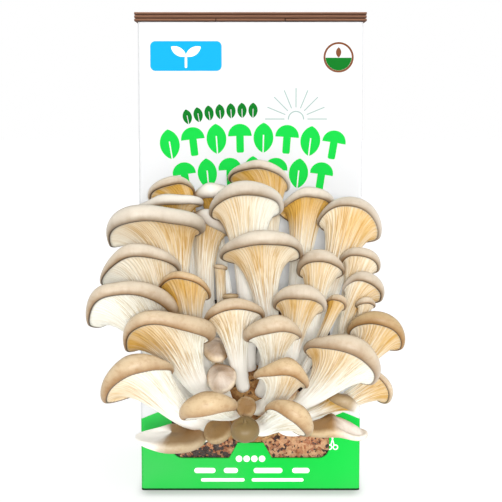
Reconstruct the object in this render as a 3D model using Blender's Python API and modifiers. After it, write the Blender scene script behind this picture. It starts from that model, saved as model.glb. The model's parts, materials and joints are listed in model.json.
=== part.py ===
"""Oyster mushroom grow kit: a printed carton with a cut-out window, the bag of
substrate inside it, and the cluster of oyster mushrooms that grows out of the
window.

Metres, +Z up. The carton stands on z = 0 with its centre at x = y = 0, and
its front faces -Y. The mushrooms are given in millimetres, seen from the
front: x to the right, z up, and `out`, the distance in front of the carton.
"""

from dataclasses import dataclass
from math import acos, atan2, cos, hypot, pi, radians, sin

import bmesh
import bpy
from mathutils import Matrix, Vector

MM = 0.001
GAP = 0.0003

# Carton
CARTON_WIDTH = 0.111
CARTON_DEPTH = 0.090
CARTON_HEIGHT = 0.2358
BOARD = 0.0015
CORNER_RADIUS = 0.0016
CORNER_SEGMENTS = 3

# The flaps that close the top, one board each
FLAP_BOARD = 0.0013
FLAP_WIDTH = 0.1142
FLAP_DEPTH = 0.0924
DUST_FLAP_REACH = 0.040

# Window in the carton's front
WINDOW_HALF_WIDTH = 0.040
WINDOW_SILL = 0.0167
WINDOW_TOP = 0.098
WINDOW_CORNER = 0.0055
WINDOW_CORNER_STEPS = 5
WINDOW_CUT_DEPTH = 0.010
TONGUE_TOP = 0.0246
TONGUE_HALF_FOOT = 0.0108
TONGUE_HALF_TOP = 0.0065

# Bag and substrate
BAG_FILM = 0.0006
BAG_TOP = 0.204
BAG_CORNER = 0.007
BLOCK_SEGMENTS = 2
SLIT_CENTRE_Z = 0.050
SLIT_HALF_WIDTH = 0.032
SLIT_HALF_HEIGHT = 0.026
SLIT_SEGMENTS = 24
SLIT_CUT_DEPTH = 0.008
SUBSTRATE_TOP = 0.196
SUBSTRATE_CORNER = 0.006

# Root mass that all the stems grow from
ROOT_CENTRE = Vector((0.0, -0.051, 0.047))
ROOT_RADII = Vector((0.023, 0.029, 0.020))
ROOT_BACK = -0.0423
ROOT_SEGMENTS = 20
ROOT_RINGS = 12

# Rings of a mushroom, from the centre of the cap's top down to the foot. A
# crown ring is a share of the reach and of the way from the margin's height
# to the middle's; a margin ring is an offset outwards and a rise, as shares of
# the margin's thickness.
CROWN_STEPS = ((0.55, 0.35),)
LIP_STEPS = ((-0.30, 1.00), (0.34, 0.78), (0.36, 0.16))

# Points of a ring and rings of the underside, for caps that reach further
# than SMALL_REACH millimetres and for the others
SMALL_REACH = 9
LARGE_MESH = (14, 4)
SMALL_MESH = (10, 3)

# Angles over which an edge stays sharp, in degrees
HARD_EDGE = 35
FLESH_EDGE = 60

# Materials: name, colour, roughness and alpha
CARTON_LOOK = ("carton_board", (0.93, 0.93, 0.92), 0.55, 1.0)
FLAP_LOOK = ("raw_board_edge", (0.42, 0.27, 0.17), 0.8, 1.0)
FILM_LOOK = ("bag_film", (0.80, 0.80, 0.78), 0.2, 0.35)
SUBSTRATE_LOOK = ("substrate", (0.42, 0.26, 0.17), 0.9, 1.0)
ROOT_LOOK = ("mushroom_root", (0.55, 0.42, 0.28), 0.7, 1.0)
FLESH_LOOK = ("mushroom_flesh", (0.82, 0.74, 0.62), 0.6, 1.0)


@dataclass(frozen=True)
class Mushroom:
    """One mushroom. `cap` is the middle of the cap's rim: x, z and out.
    `tilt` lifts the front of the cap, `roll` lowers its right side. `reach`,
    `lip` and `drop` go front, right, back, left: how far the rim reaches, how
    thick the rolled margin is, and how far the rim hangs below its plane.
    `seat` is where the stem meets the cap, to the right and to the front of
    the middle. `root` is the stem's foot on the root mass: degrees to the
    right of front, and up. `flare` is how late the stem widens, `bow` how far
    it leaves its ends straight, and `follow` how far it ignores the cap's
    tilt. `crown` is the height of the cap's middle, as a share of the margin's
    thickness."""

    name: str
    cap: tuple
    tilt: float
    roll: float
    reach: tuple
    lip: tuple
    root: tuple
    stem: float
    seat: tuple = (0, 0)
    drop: tuple = (0, 0, 0, 0)
    flare: float = 1.4
    bow: tuple = (0.35, 0.35)
    follow: float = 0.6
    crown: float = 0.6


MUSHROOMS = (
    Mushroom("mushroom_top_1", (-38, 151, 10), 37, -9, (10, 10, 6, 11.5),
             (5, 2.5, 3, 2.5), (-105, 50), 2.2, seat=(8, -3), flare=2),
    Mushroom("mushroom_top_2", (-40, 145.5, 23), 15, -5, (10, 16, 6, 15.5),
             (5.5, 4, 4, 2.5), (-88, 36), 2.2, seat=(2, -3), flare=2),
    Mushroom("mushroom_top_3", (-20.5, 137, 20), 8, 29, (8, 11, 3.8, 8), (8, 4, 5, 4),
             (-72, 58), 4),
    Mushroom("mushroom_top_4", (-19, 149.5, 8), 6, -4, (9, 12, 5.5, 7), (7.5, 4, 4, 4),
             (-95, 78), 2.5, flare=2.2),
    Mushroom("mushroom_top_5", (-2, 144.5, 36), 34, -4, (17, 16, 8, 16.5),
             (8, 5, 4, 3), (-6, 72), 4.5),
    Mushroom("mushroom_top_6", (4, 157, 13.5), 36, 9, (13, 14.5, 7, 14.5),
             (5, 3, 3, 2.5), (85, 78), 3.2, seat=(8, 0), flare=2),
    Mushroom("mushroom_top_7", (27.5, 147.5, 24), 24, 6, (11, 12, 7, 13),
             (5.5, 4, 3, 3), (95, 60), 4, drop=(0, 0, 10, 6), flare=1.5),
    Mushroom("mushroom_top_8", (46, 136.5, 32), 50, 15, (15, 15, 7, 14), (6, 4, 4, 3),
             (88, 42), 3.5),
    Mushroom("mushroom_centre_1", (5.5, 124.5, 49), 27, -2, (19, 17.5, 8, 18.5),
             (7.5, 4, 4, 3), (32, 57), 4.6, flare=1.9),
    Mushroom("mushroom_centre_2", (22.5, 102, 58), 35, 4, (11, 11, 6, 11),
             (8, 4, 4, 4), (37, 37), 3.5),
    Mushroom("mushroom_centre_3", (-7.5, 96, 60), 35, -8, (13, 13, 6, 13),
             (6, 4, 4, 3), (-11, 38), 4),
    Mushroom("mushroom_centre_4", (11, 89.5, 68), 24, -4, (12, 11.5, 6, 12),
             (8.5, 3, 4, 6), (14, 30), 3.5),
    Mushroom("mushroom_centre_5", (16, 72.5, 76), 20, 4, (10, 9, 6, 13.5),
             (8.5, 4, 4, 3.5), (7, 9), 4, drop=(0, 3, 0, 0), bow=(0.12, 0.35)),
    Mushroom("mushroom_centre_6", (-16, 80.5, 44), -34, 20, (8, 5, 5, 6), (4, 3, 3, 3),
             (-34, 36), 2.5, crown=1.6),
    Mushroom("mushroom_centre_7", (-14.5, 68, 48), -52, -6, (8, 7, 5.5, 5),
             (3, 2.5, 2.5, 2.5), (-25, 17), 2, bow=(0.15, 0.35), crown=2),
    Mushroom("mushroom_centre_8", (17, 60.5, 42), -45, 10, (6.5, 4.5, 5.5, 5.5),
             (2.5, 2, 2, 2), (34, -8), 2.5, bow=(0.15, 0.35), crown=2),
    Mushroom("mushroom_left_1", (-52, 134, 37), 24, -8, (20, 28, 9, 15),
             (8.5, 8, 5, 1.5), (-76, 24), 4, seat=(15, -4), drop=(0, 3, 0, 2)),
    Mushroom("mushroom_left_2", (-51.5, 117.5, 49), 30, -4, (18, 18, 8, 18),
             (7, 4, 4, 1.5), (-84, 0), 3.5, seat=(8, -2), drop=(0, 0, 0, 4)),
    Mushroom("mushroom_left_3", (-62, 100, 59), 32, -9, (20, 25.5, 9, 12.5),
             (6.5, 9.5, 5, 2), (-64, 6), 4, seat=(15, -4), drop=(0, 5, 0, 4)),
    Mushroom("mushroom_left_4", (-32, 109.5, 57), 36, 11, (13, 13, 6.5, 10),
             (4, 2.5, 3, 2), (-58, 40), 3.5, seat=(4, 0)),
    Mushroom("mushroom_left_5", (-43.5, 89.5, 69), 30, -7, (19, 24, 8, 13),
             (7, 9.5, 5, 2.5), (-42, 18), 5, seat=(12, -4), drop=(0, 4, 0, 3),
             flare=1.2),
    Mushroom("mushroom_left_6", (-50, 72.5, 77), 22, -14, (15, 15, 9, 16.5),
             (9.5, 3.5, 5, 5), (-46, -10), 5, seat=(8, -3), drop=(0, 0, 5, 6),
             flare=1.2, bow=(0.25, 0.35)),
    Mushroom("mushroom_right_1", (32, 116.5, 44), 39, 1, (11, 11, 6, 9), (7, 3, 3, 4),
             (66, 38), 3),
    Mushroom("mushroom_right_2", (51.5, 119.5, 40), 40, 14, (9, 8.5, 4.5, 8.5),
             (5, 3, 3, 4), (90, 24), 2.5),
    Mushroom("mushroom_right_3", (52.5, 107, 47), 45, 17, (10, 8.5, 5, 9),
             (6, 3, 3, 3), (86, 8), 2.8, seat=(-4, 0), flare=2.2),
    Mushroom("mushroom_right_4", (53.5, 102, 52), 30, 0, (4.5, 4, 2.5, 4),
             (3.5, 2, 1.5, 2), (70, 12), 1.8, flare=2.4),
    Mushroom("mushroom_right_5", (58, 88, 55), 42, 10, (12, 12, 6.5, 12),
             (7.5, 4, 4, 4), (72, -6), 3.5, drop=(0, 3, 0, 0), bow=(0.1, 0.35)),
    Mushroom("mushroom_right_6", (39.5, 103, 56), 36, 22, (5.5, 4, 3, 4.5),
             (3.5, 2, 2, 2), (50, 25), 2.2, flare=2.4, bow=(0.2, 0.35)),
    Mushroom("mushroom_right_7", (40.5, 76.5, 66), 33, 26, (17, 17, 8, 17),
             (9.5, 4, 4, 4), (54, 7), 4.2, flare=1.25, bow=(0.12, 0.35)),
    Mushroom("mushroom_right_8", (59, 61, 34), 30, 55, (10, 10, 9, 10),
             (3, 2.5, 2.5, 2.5), (84, -20), 3, bow=(0.2, 0.35)),
    Mushroom("mushroom_low_1", (-18.5, 57.5, 82), 14, -11, (12, 11, 9, 11),
             (11, 6, 6, 5), (-17, 4), 3.8, seat=(6, -5), flare=1.1, bow=(0.15, 0.35),
             follow=0.95),
    Mushroom("mushroom_low_2", (16, 53.5, 80), 22, 35, (11, 10, 8, 10.5), (9, 5, 5, 4),
             (9, -17), 4.5, seat=(-5, -4), flare=1.1, bow=(0.1, 0.2), follow=1),
    Mushroom("mushroom_low_3", (-37.5, 37.5, 43), -20, 3, (12, 15, 6, 17),
             (5, 4, 4, 1.5), (-66, -34), 3.5, seat=(8, -5), follow=0.95, crown=1),
    Mushroom("mushroom_low_4", (-16, 41, 45), -34, -18, (7, 7, 5, 5), (3.5, 3, 3, 3),
             (-30, -26), 2, seat=(0, -3), follow=0.95, crown=1.2),
    Mushroom("mushroom_low_5", (-2.5, 44.5, 67), -26, 0, (3.4, 3.4, 3.2, 3.4),
             (8.5, 8, 9, 8), (-5, -29), 1.8, seat=(0, -3), bow=(0.1, 0.3), follow=0.95,
             crown=1.2),
    Mushroom("mushroom_low_6", (42.5, 54.5, 45), 4, 28, (8, 7.5, 3.6, 7),
             (6, 4, 3, 3.5), (58, -11), 2, seat=(-2, -2), bow=(0.2, 0.35), follow=0.8,
             crown=1),
    Mushroom("mushroom_low_7", (39.5, 43, 38.5), -26, -8, (8.5, 15, 4, 13),
             (5, 3, 3.5, 3.5), (46, -28), 2.2, seat=(3, -4), drop=(0, 9, 0, 1),
             bow=(0.25, 0.3), follow=0.95, crown=1.5),
    Mushroom("mushroom_low_8", (-2, 55, 55), -55, 0, (4.5, 3.5, 4, 3.5), (3, 3, 3, 3),
             (-10, 17), 1.8, crown=0.9),
    Mushroom("pin_1", (-14.5, 117, 30), 10, 8, (2.6, 2.6, 2.4, 2.6), (2.4, 2, 2, 2),
             (-38, 60), 2.4),
    Mushroom("pin_2", (-9.5, 103.5, 33), 5, -4, (3.2, 3.2, 2.8, 3.2), (2.4, 2, 2, 2),
             (-10, 56), 1.6),
)


def clear_scene():
    """Remove every object of the file."""
    for old in list(bpy.data.objects):
        bpy.data.objects.remove(old, do_unlink=True)


def new_collection(name):
    """A collection linked to the scene."""
    group = bpy.data.collections.new(name)
    bpy.context.scene.collection.children.link(group)
    return group


def make_material(name, colour, roughness, alpha):
    """A Principled material of one colour."""
    material = bpy.data.materials.new(name)
    material.use_nodes = True
    shader = material.node_tree.nodes["Principled BSDF"]
    shader.inputs["Base Color"].default_value = (*colour, 1.0)
    shader.inputs["Roughness"].default_value = roughness
    shader.inputs["Metallic"].default_value = 0.0
    shader.inputs["Alpha"].default_value = alpha
    material.diffuse_color = (*colour, alpha)
    return material


def box_mesh(bm, low, high):
    """Add a box between two corners."""
    made = bmesh.ops.create_cube(bm, size=1.0)["verts"]
    size = Vector(high) - Vector(low)
    middle = (Vector(high) + Vector(low)) / 2
    bmesh.ops.scale(bm, vec=size, verts=made)
    bmesh.ops.translate(bm, vec=middle, verts=made)
    return made


def finish_object(bm, name, group, material=None):
    """Turn a bmesh into a named object in a collection."""
    mesh = bpy.data.meshes.new(name)
    bm.to_mesh(mesh)
    bm.free()
    thing = bpy.data.objects.new(name, mesh)
    group.objects.link(thing)
    if material:
        mesh.materials.append(material)
    return thing


def hide_cutter(cutter):
    """Mark an object as a cutter only."""
    cutter.hide_render = True
    cutter.display_type = "WIRE"


def cut(target, cutter):
    """Cut one object out of another."""
    step = target.modifiers.new("cut", "BOOLEAN")
    step.operation = "DIFFERENCE"
    step.solver = "EXACT"
    step.object = cutter


def shade(thing, degrees=HARD_EDGE):
    """Shade smooth, with sharp edges kept."""
    thing.data.shade_smooth()
    thing.data.set_sharp_from_angle(angle=radians(degrees))


# Carton ---------------------------------------------------------------------

def window_outline():
    """The window's edge, seen from the front, as x and z."""
    steps = WINDOW_CORNER_STEPS
    points = []
    half = WINDOW_HALF_WIDTH
    corner = WINDOW_CORNER
    rounded = (
        (half - corner, WINDOW_SILL + corner, -90),
        (half - corner, WINDOW_TOP - corner, 0),
        (corner - half, WINDOW_TOP - corner, 90),
        (corner - half, WINDOW_SILL + corner, 180),
    )
    for x, z, start in rounded:
        for step in range(steps + 1):
            angle = radians(start + 90 * step / steps)
            points.append((x + corner * cos(angle), z + corner * sin(angle)))
    points += [
        (-TONGUE_HALF_FOOT, WINDOW_SILL),
        (-TONGUE_HALF_TOP, TONGUE_TOP),
        (TONGUE_HALF_TOP, TONGUE_TOP),
        (TONGUE_HALF_FOOT, WINDOW_SILL),
    ]
    return points


def prism_from_outline(points, y_low, y_high, name, group):
    """A flat outline in x and z, extruded along y."""
    bm = bmesh.new()
    front = [bm.verts.new((x, y_low, z)) for x, z in points]
    face = bm.faces.new(front)
    grown = bmesh.ops.extrude_face_region(bm, geom=[face])["geom"]
    moved = [part for part in grown if isinstance(part, bmesh.types.BMVert)]
    bmesh.ops.translate(bm, vec=(0, y_high - y_low, 0), verts=moved)
    bmesh.ops.recalc_face_normals(bm, faces=bm.faces)
    return finish_object(bm, name, group)


def make_carton(parts, cutters):
    """The folded and glued body of the carton, with its window."""
    half_width = CARTON_WIDTH / 2
    half_depth = CARTON_DEPTH / 2
    bm = bmesh.new()
    box_mesh(bm, (-half_width, -half_depth, 0), (half_width, half_depth, CARTON_HEIGHT))
    top = max(bm.faces, key=lambda face: face.calc_center_median().z)
    bmesh.ops.delete(bm, geom=[top], context="FACES_ONLY")
    folds = [
        edge for edge in bm.edges
        if abs(edge.verts[0].co.z - edge.verts[1].co.z) > CARTON_HEIGHT / 2
    ]
    bmesh.ops.bevel(
        bm, geom=folds, offset=CORNER_RADIUS, segments=CORNER_SEGMENTS, profile=0.5,
        affect="EDGES"
    )
    carton = finish_object(bm, "carton_body", parts, make_material(*CARTON_LOOK))
    wall = carton.modifiers.new("board", "SOLIDIFY")
    wall.thickness = BOARD
    wall.offset = -1
    wall.use_even_offset = True
    window = prism_from_outline(
        window_outline(), -half_depth - WINDOW_CUT_DEPTH, -half_depth + WINDOW_CUT_DEPTH,
        "window_cutter", cutters
    )
    hide_cutter(window)
    cut(carton, window)
    shade(carton)


def make_board(name, low, high, parts, material):
    """One flap, a plain board."""
    bm = bmesh.new()
    box_mesh(bm, low, high)
    finish_object(bm, name, parts, material)


def make_flaps(parts):
    """The flaps that close the top: two dust flaps, then inner and outer."""
    material = make_material(*FLAP_LOOK)
    half = FLAP_WIDTH / 2
    front = -FLAP_DEPTH / 2
    back = FLAP_DEPTH / 2
    base = CARTON_HEIGHT + GAP
    layer = FLAP_BOARD + GAP
    make_board("dust_flap_left", (-half, front, base),
               (DUST_FLAP_REACH - half, back, base + FLAP_BOARD), parts, material)
    make_board("dust_flap_right", (half - DUST_FLAP_REACH, front, base),
               (half, back, base + FLAP_BOARD), parts, material)
    make_board("top_flap_inner", (-half, front, base + layer),
               (half, back, base + layer + FLAP_BOARD), parts, material)
    make_board("top_flap_outer", (-half, front, base + 2 * layer),
               (half, back, base + 2 * layer + FLAP_BOARD), parts, material)


# Bag and substrate ----------------------------------------------------------

def rounded_block(bm, low, high, radius):
    """A box with all its edges rounded."""
    box_mesh(bm, low, high)
    bmesh.ops.bevel(
        bm, geom=list(bm.edges), offset=radius, segments=BLOCK_SEGMENTS, profile=0.5,
        affect="EDGES"
    )


def make_bag(parts, cutters):
    """The film bag around the substrate, open at the cut in its front."""
    clear = BOARD + GAP
    low = Vector((clear - CARTON_WIDTH / 2, clear - CARTON_DEPTH / 2, clear))
    high = Vector((CARTON_WIDTH / 2 - clear, CARTON_DEPTH / 2 - clear, BAG_TOP))
    bm = bmesh.new()
    rounded_block(bm, low, high, BAG_CORNER)
    bag = finish_object(bm, "grow_bag", parts, make_material(*FILM_LOOK))
    hollow = bmesh.new()
    film = Vector((BAG_FILM, BAG_FILM, BAG_FILM))
    rounded_block(hollow, low + film, high - film, BAG_CORNER - BAG_FILM)
    inside = finish_object(hollow, "bag_hollow", cutters)
    hide_cutter(inside)
    cut(bag, inside)
    opening = bmesh.new()
    bmesh.ops.create_cone(
        opening, cap_ends=True, segments=SLIT_SEGMENTS, radius1=1.0, radius2=1.0,
        depth=SLIT_CUT_DEPTH
    )
    bmesh.ops.rotate(
        opening, cent=(0, 0, 0), matrix=Matrix.Rotation(pi / 2, 3, "X"), verts=opening.verts
    )
    bmesh.ops.scale(
        opening, vec=(SLIT_HALF_WIDTH, 1, SLIT_HALF_HEIGHT), verts=opening.verts
    )
    bmesh.ops.translate(
        opening, vec=(0, clear - CARTON_DEPTH / 2, SLIT_CENTRE_Z), verts=opening.verts
    )
    slit = finish_object(opening, "bag_slit", cutters)
    hide_cutter(slit)
    cut(bag, slit)
    shade(bag)


def make_substrate(parts):
    """The block of grown-through sawdust in the bag."""
    clear = BOARD + 2 * GAP + BAG_FILM
    low = (clear - CARTON_WIDTH / 2, clear - CARTON_DEPTH / 2, clear)
    high = (CARTON_WIDTH / 2 - clear, CARTON_DEPTH / 2 - clear, SUBSTRATE_TOP)
    bm = bmesh.new()
    rounded_block(bm, low, high, SUBSTRATE_CORNER)
    block = finish_object(bm, "substrate_block", parts, make_material(*SUBSTRATE_LOOK))
    shade(block)


# Mushrooms ------------------------------------------------------------------

def make_root_mass(parts):
    """The knot of fused stem feet, flat where it grows on the substrate."""
    bm = bmesh.new()
    made = bmesh.ops.create_uvsphere(
        bm, u_segments=ROOT_SEGMENTS, v_segments=ROOT_RINGS, radius=1.0
    )
    bmesh.ops.scale(bm, vec=ROOT_RADII, verts=made["verts"])
    bmesh.ops.translate(bm, vec=ROOT_CENTRE, verts=made["verts"])
    cutting = bmesh.ops.bisect_plane(
        bm, geom=bm.verts[:] + bm.edges[:] + bm.faces[:],
        plane_co=(0, ROOT_BACK, 0), plane_no=(0, 1, 0), clear_outer=True,
    )
    rim = [part for part in cutting["geom_cut"] if isinstance(part, bmesh.types.BMEdge)]
    bmesh.ops.edgeloop_fill(bm, edges=rim)
    bmesh.ops.recalc_face_normals(bm, faces=bm.faces)
    root = finish_object(bm, "root_mass", parts, make_material(*ROOT_LOOK))
    shade(root)


def root_point(azimuth, elevation):
    """A point on the root mass and the way its surface faces there."""
    across = radians(azimuth)
    up = radians(elevation)
    way = Vector((sin(across) * cos(up), -cos(across) * cos(up), sin(up)))
    point = ROOT_CENTRE + Vector(
        (way.x * ROOT_RADII.x, way.y * ROOT_RADII.y, way.z * ROOT_RADII.z)
    )
    normal = Vector((way.x / ROOT_RADII.x, way.y / ROOT_RADII.y, way.z / ROOT_RADII.z))
    return point, normal.normalized()


def cap_axes(shroom):
    """The cap's own right, front and up."""
    turn = (
        Matrix.Rotation(radians(shroom.roll), 3, "Y")
        @ Matrix.Rotation(radians(-shroom.tilt), 3, "X")
    )
    return turn @ Vector((1, 0, 0)), turn @ Vector((0, -1, 0)), turn @ Vector((0, 0, 1))


def around(angle, four):
    """A value that runs smoothly through front, right, back and left."""
    front, right, back, left = four
    ahead = front if cos(angle) > 0 else back
    aside = right if sin(angle) > 0 else left
    return ahead * cos(angle) ** 2 + aside * sin(angle) ** 2


def reach_around(angle, four):
    """How far the rim reaches at an angle: quarters of ellipses."""
    front, right, back, left = four
    ahead = front if cos(angle) > 0 else back
    aside = right if sin(angle) > 0 else left
    return 1 / hypot(cos(angle) / ahead, sin(angle) / aside)


def cap_middle(shroom):
    """The middle of the cap's rim."""
    x, z, out = shroom.cap
    return Vector((x * MM, -CARTON_DEPTH / 2 - out * MM, z * MM))


def stem_seat(shroom):
    """The way from the cap's middle to where the stem meets the cap."""
    right, front, _ = cap_axes(shroom)
    return (right * shroom.seat[0] + front * shroom.seat[1]) * MM


def stem_line(shroom):
    """The four points of the stem's curve, from its foot to the cap."""
    top = cap_middle(shroom) + stem_seat(shroom)
    foot, grows = root_point(*shroom.root)
    foot = foot + grows * GAP
    up = cap_axes(shroom)[2]
    along = (top - foot).normalized()
    arrive = up.lerp(along, shroom.follow).normalized()
    length = (top - foot).length
    first, last = shroom.bow
    return foot, foot + grows * length * first, top - arrive * length * last, top


def curve_point(points, t):
    """A point of a cubic curve, and its direction there."""
    a, b, c, d = points
    s = 1 - t
    point = a * s ** 3 + b * 3 * s * s * t + c * 3 * s * t * t + d * t ** 3
    way = (b - a) * s * s + (c - b) * 2 * s * t + (d - c) * t * t
    return point, way.normalized()


def fineness(shroom):
    """How many points a ring has, and how many rings the underside has."""
    return LARGE_MESH if max(shroom.reach) > SMALL_REACH else SMALL_MESH


def underside_ring(shroom, share, side, ahead):
    """One ring between the foot (share 0) and the rim (share 1)."""
    segments = fineness(shroom)[0]
    right, front, up = cap_axes(shroom)
    along = sin(share * pi / 2)
    spread = (1 - cos(share * pi / 2)) ** shroom.flare
    centre = curve_point(stem_line(shroom), along)[0] - stem_seat(shroom) * spread
    ring = []
    for step in range(segments):
        angle = 2 * pi * step / segments
        stem_way = side * sin(angle) + ahead * cos(angle)
        cap_way = right * sin(angle) + front * cos(angle)
        wide = reach_around(angle, shroom.reach) * spread
        hang = around(angle, shroom.drop) * spread ** 2
        ring.append(
            centre + stem_way * shroom.stem * (1 - spread) * MM
            + cap_way * wide * MM - up * hang * MM
        )
    return ring


def stem_frames(shroom, shares):
    """Side and front of the stem at each ring, turned along its curve."""
    points = stem_line(shroom)
    right = cap_axes(shroom)[0]
    frames = []
    for share in reversed(shares):
        way = curve_point(points, sin(share * pi / 2))[1]
        right = (right - way * way.dot(right)).normalized()
        frames.append((right, right.cross(way)))
    return frames[::-1]


def cap_ring(shroom, inward, out, rise):
    """One ring of the margin or the crown: a share of the reach, an offset
    outwards and a rise, both as shares of the margin's thickness."""
    segments = fineness(shroom)[0]
    right, front, up = cap_axes(shroom)
    centre = cap_middle(shroom)
    ring = []
    for step in range(segments):
        angle = 2 * pi * step / segments
        way = right * sin(angle) + front * cos(angle)
        lip = around(angle, shroom.lip)
        wide = reach_around(angle, shroom.reach) * inward + out * lip
        hang = around(angle, shroom.drop) * inward ** 2
        ring.append(centre + (way * wide + up * (rise * lip - hang)) * MM)
    return ring


def mushroom_rings(shroom):
    """All the rings of a mushroom, from the crown down to the foot."""
    steps = fineness(shroom)[1]
    shares = [step / steps for step in range(steps + 1)]
    frames = stem_frames(shroom, shares)
    inner = LIP_STEPS[0][0]
    crown = [
        cap_ring(shroom, inward, inner * inward, 1 - (1 - shroom.crown) * sunk)
        for inward, sunk in CROWN_STEPS
    ]
    margin = [cap_ring(shroom, 1, out, rise) for out, rise in LIP_STEPS]
    under = [
        underside_ring(shroom, share, *frame)
        for share, frame in zip(shares, frames)
    ]
    return crown + margin + under[::-1]


def make_mushroom(shroom, parts, material):
    """A mushroom, cap and stem in one: a ball whose rings are moved."""
    rings = mushroom_rings(shroom)
    count = len(rings) + 1
    lip = sum(shroom.lip) / 4 * MM
    top = cap_middle(shroom) + cap_axes(shroom)[2] * lip * shroom.crown
    foot = stem_line(shroom)[0]
    segments = fineness(shroom)[0]
    bm = bmesh.new()
    bmesh.ops.create_uvsphere(bm, u_segments=segments, v_segments=count, radius=1.0)
    for vert in bm.verts:
        row = round(acos(max(-1, min(1, vert.co.z))) / pi * count)
        step = round((atan2(vert.co.y, vert.co.x) / (2 * pi) + 0.25) * segments)
        if row == 0:
            vert.co = top
        elif row == count:
            vert.co = foot
        else:
            vert.co = rings[row - 1][step % segments]
    shroom_object = finish_object(bm, shroom.name, parts, material)
    shade(shroom_object, FLESH_EDGE)


def main():
    """Build the whole kit."""
    clear_scene()
    parts = new_collection("oyster_mushroom_grow_kit")
    cutters = new_collection("cutters")
    make_carton(parts, cutters)
    make_flaps(parts)
    make_bag(parts, cutters)
    make_substrate(parts)
    make_root_mass(parts)
    flesh = make_material(*FLESH_LOOK)
    for shroom in MUSHROOMS:
        make_mushroom(shroom, parts, flesh)


main()
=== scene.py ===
"""The looks of the oyster mushroom grow kit, built around its solid model.

Metres, +Z up, in the model's own frame: the carton stands on z = 0 with its
centre at x = y = 0, and its front faces -Y. The mushrooms and the print are
given in millimetres, seen from the front: x to the right, z up, and `out`, the
distance in front of the carton.
"""

import json
import logging
from dataclasses import dataclass, field
from enum import Enum
from math import cos, hypot, pi, radians, sin

import bmesh
import bpy
import numpy as np
from mathutils import Matrix, Vector, noise
from mathutils.bvhtree import BVHTree

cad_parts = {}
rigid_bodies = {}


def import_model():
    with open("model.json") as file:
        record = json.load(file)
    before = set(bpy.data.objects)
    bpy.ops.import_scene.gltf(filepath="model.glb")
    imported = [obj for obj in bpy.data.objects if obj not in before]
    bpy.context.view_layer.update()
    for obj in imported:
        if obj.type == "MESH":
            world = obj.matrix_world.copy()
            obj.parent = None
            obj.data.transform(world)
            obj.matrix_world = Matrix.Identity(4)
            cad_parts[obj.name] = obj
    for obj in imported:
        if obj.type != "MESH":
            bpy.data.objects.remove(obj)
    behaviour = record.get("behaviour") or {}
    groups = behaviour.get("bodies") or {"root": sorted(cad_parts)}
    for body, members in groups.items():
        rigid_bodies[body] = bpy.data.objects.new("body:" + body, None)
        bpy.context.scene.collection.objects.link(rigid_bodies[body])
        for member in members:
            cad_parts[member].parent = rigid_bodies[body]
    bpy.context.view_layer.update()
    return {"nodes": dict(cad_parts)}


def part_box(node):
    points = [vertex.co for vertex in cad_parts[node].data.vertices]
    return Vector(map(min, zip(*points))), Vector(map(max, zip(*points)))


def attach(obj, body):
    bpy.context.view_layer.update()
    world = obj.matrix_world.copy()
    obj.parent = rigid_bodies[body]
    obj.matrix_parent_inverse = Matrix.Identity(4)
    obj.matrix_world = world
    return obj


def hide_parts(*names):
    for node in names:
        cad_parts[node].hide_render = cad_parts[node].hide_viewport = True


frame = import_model()

MM = 0.001
BODY = "root"
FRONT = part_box("carton_body")[0].y
log = logging.getLogger("grow_kit")

Colour = tuple[float, float, float]
Triple = tuple[float, float, float]
Four = tuple[float, float, float, float]
Noise = tuple[float, float, float]
Pair = tuple[float, float]
Span = Gain = Relief = Pair
Ramp = Four
Shape = bpy.types.Object
Socket = bpy.types.NodeSocket


# Small tools -----------------------------------------------------------------

def deselect() -> None:
    """Leave nothing selected, so that operators act on the new piece alone."""
    bpy.ops.object.select_all(action="DESELECT")


def linear(red: int, green: int, blue: int) -> Colour:
    """A colour as a screen has it, 0 to 255, in the values that shaders take."""
    shares = (value / 255 for value in (red, green, blue))
    return tuple(s / 12.92 if s <= 0.04045 else ((s + 0.055) / 1.055) ** 2.4 for s in shares)


def place(piece: Shape, slot: str, *nodes: str) -> Shape:
    """Give a finished piece its body, and hide the solids that it stands for.

    Args:
        piece: the finished object.
        slot: the material slot meant for the piece's finish; not used.
        nodes: the solids that it replaces.

    Returns:
        The piece.
    """
    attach(piece, BODY)
    if nodes:
        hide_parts(*nodes)
    log.info("%s: %d faces", piece.name, len(piece.data.polygons))
    return piece


def dress(piece: Shape, finish: bpy.types.Material) -> None:
    """Shade a piece smoothly and give it its finish."""
    piece.data.shade_smooth()
    piece.data.materials.append(finish)


def apply_modifiers(piece: Shape) -> None:
    """Apply all the modifiers of a piece, in their order.

    Args:
        piece: the object.
    """
    deselect()
    piece.select_set(True)
    bpy.context.view_layer.objects.active = piece
    for step in list(piece.modifiers):
        bpy.ops.object.modifier_apply(modifier=step.name)


def points_of(mesh: bpy.types.Mesh) -> np.ndarray:
    """Read the places of a mesh's points.

    Args:
        mesh: the mesh.

    Returns:
        One row for each point.
    """
    flat = np.empty(len(mesh.vertices) * 3, np.float32)
    mesh.vertices.foreach_get("co", flat)
    return flat.reshape(-1, 3).astype(float)


def set_points(mesh: bpy.types.Mesh, points: np.ndarray) -> None:
    """Move all the points of a mesh."""
    mesh.vertices.foreach_set("co", np.ascontiguousarray(points, np.float32).ravel())
    mesh.update()


def set_values(mesh: bpy.types.Mesh, name: str, values: np.ndarray) -> None:
    """Store a number, or a vector of three, on each point of a mesh.

    Args:
        mesh: the mesh.
        name: the attribute's name.
        values: one number or row for each point.
    """
    kind, key = ("FLOAT_VECTOR", "vector") if values.ndim == 2 else ("FLOAT", "value")
    layer = mesh.attributes.new(name, kind, "POINT")
    layer.data.foreach_set(key, np.ascontiguousarray(values, np.float32).ravel())


def open_mesh(piece: Shape) -> bmesh.types.BMesh:
    """Open a piece's mesh for editing.

    Args:
        piece: the object.

    Returns:
        The mesh, to be closed with close_mesh.
    """
    bm = bmesh.new()
    bm.from_mesh(piece.data)
    return bm


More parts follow.
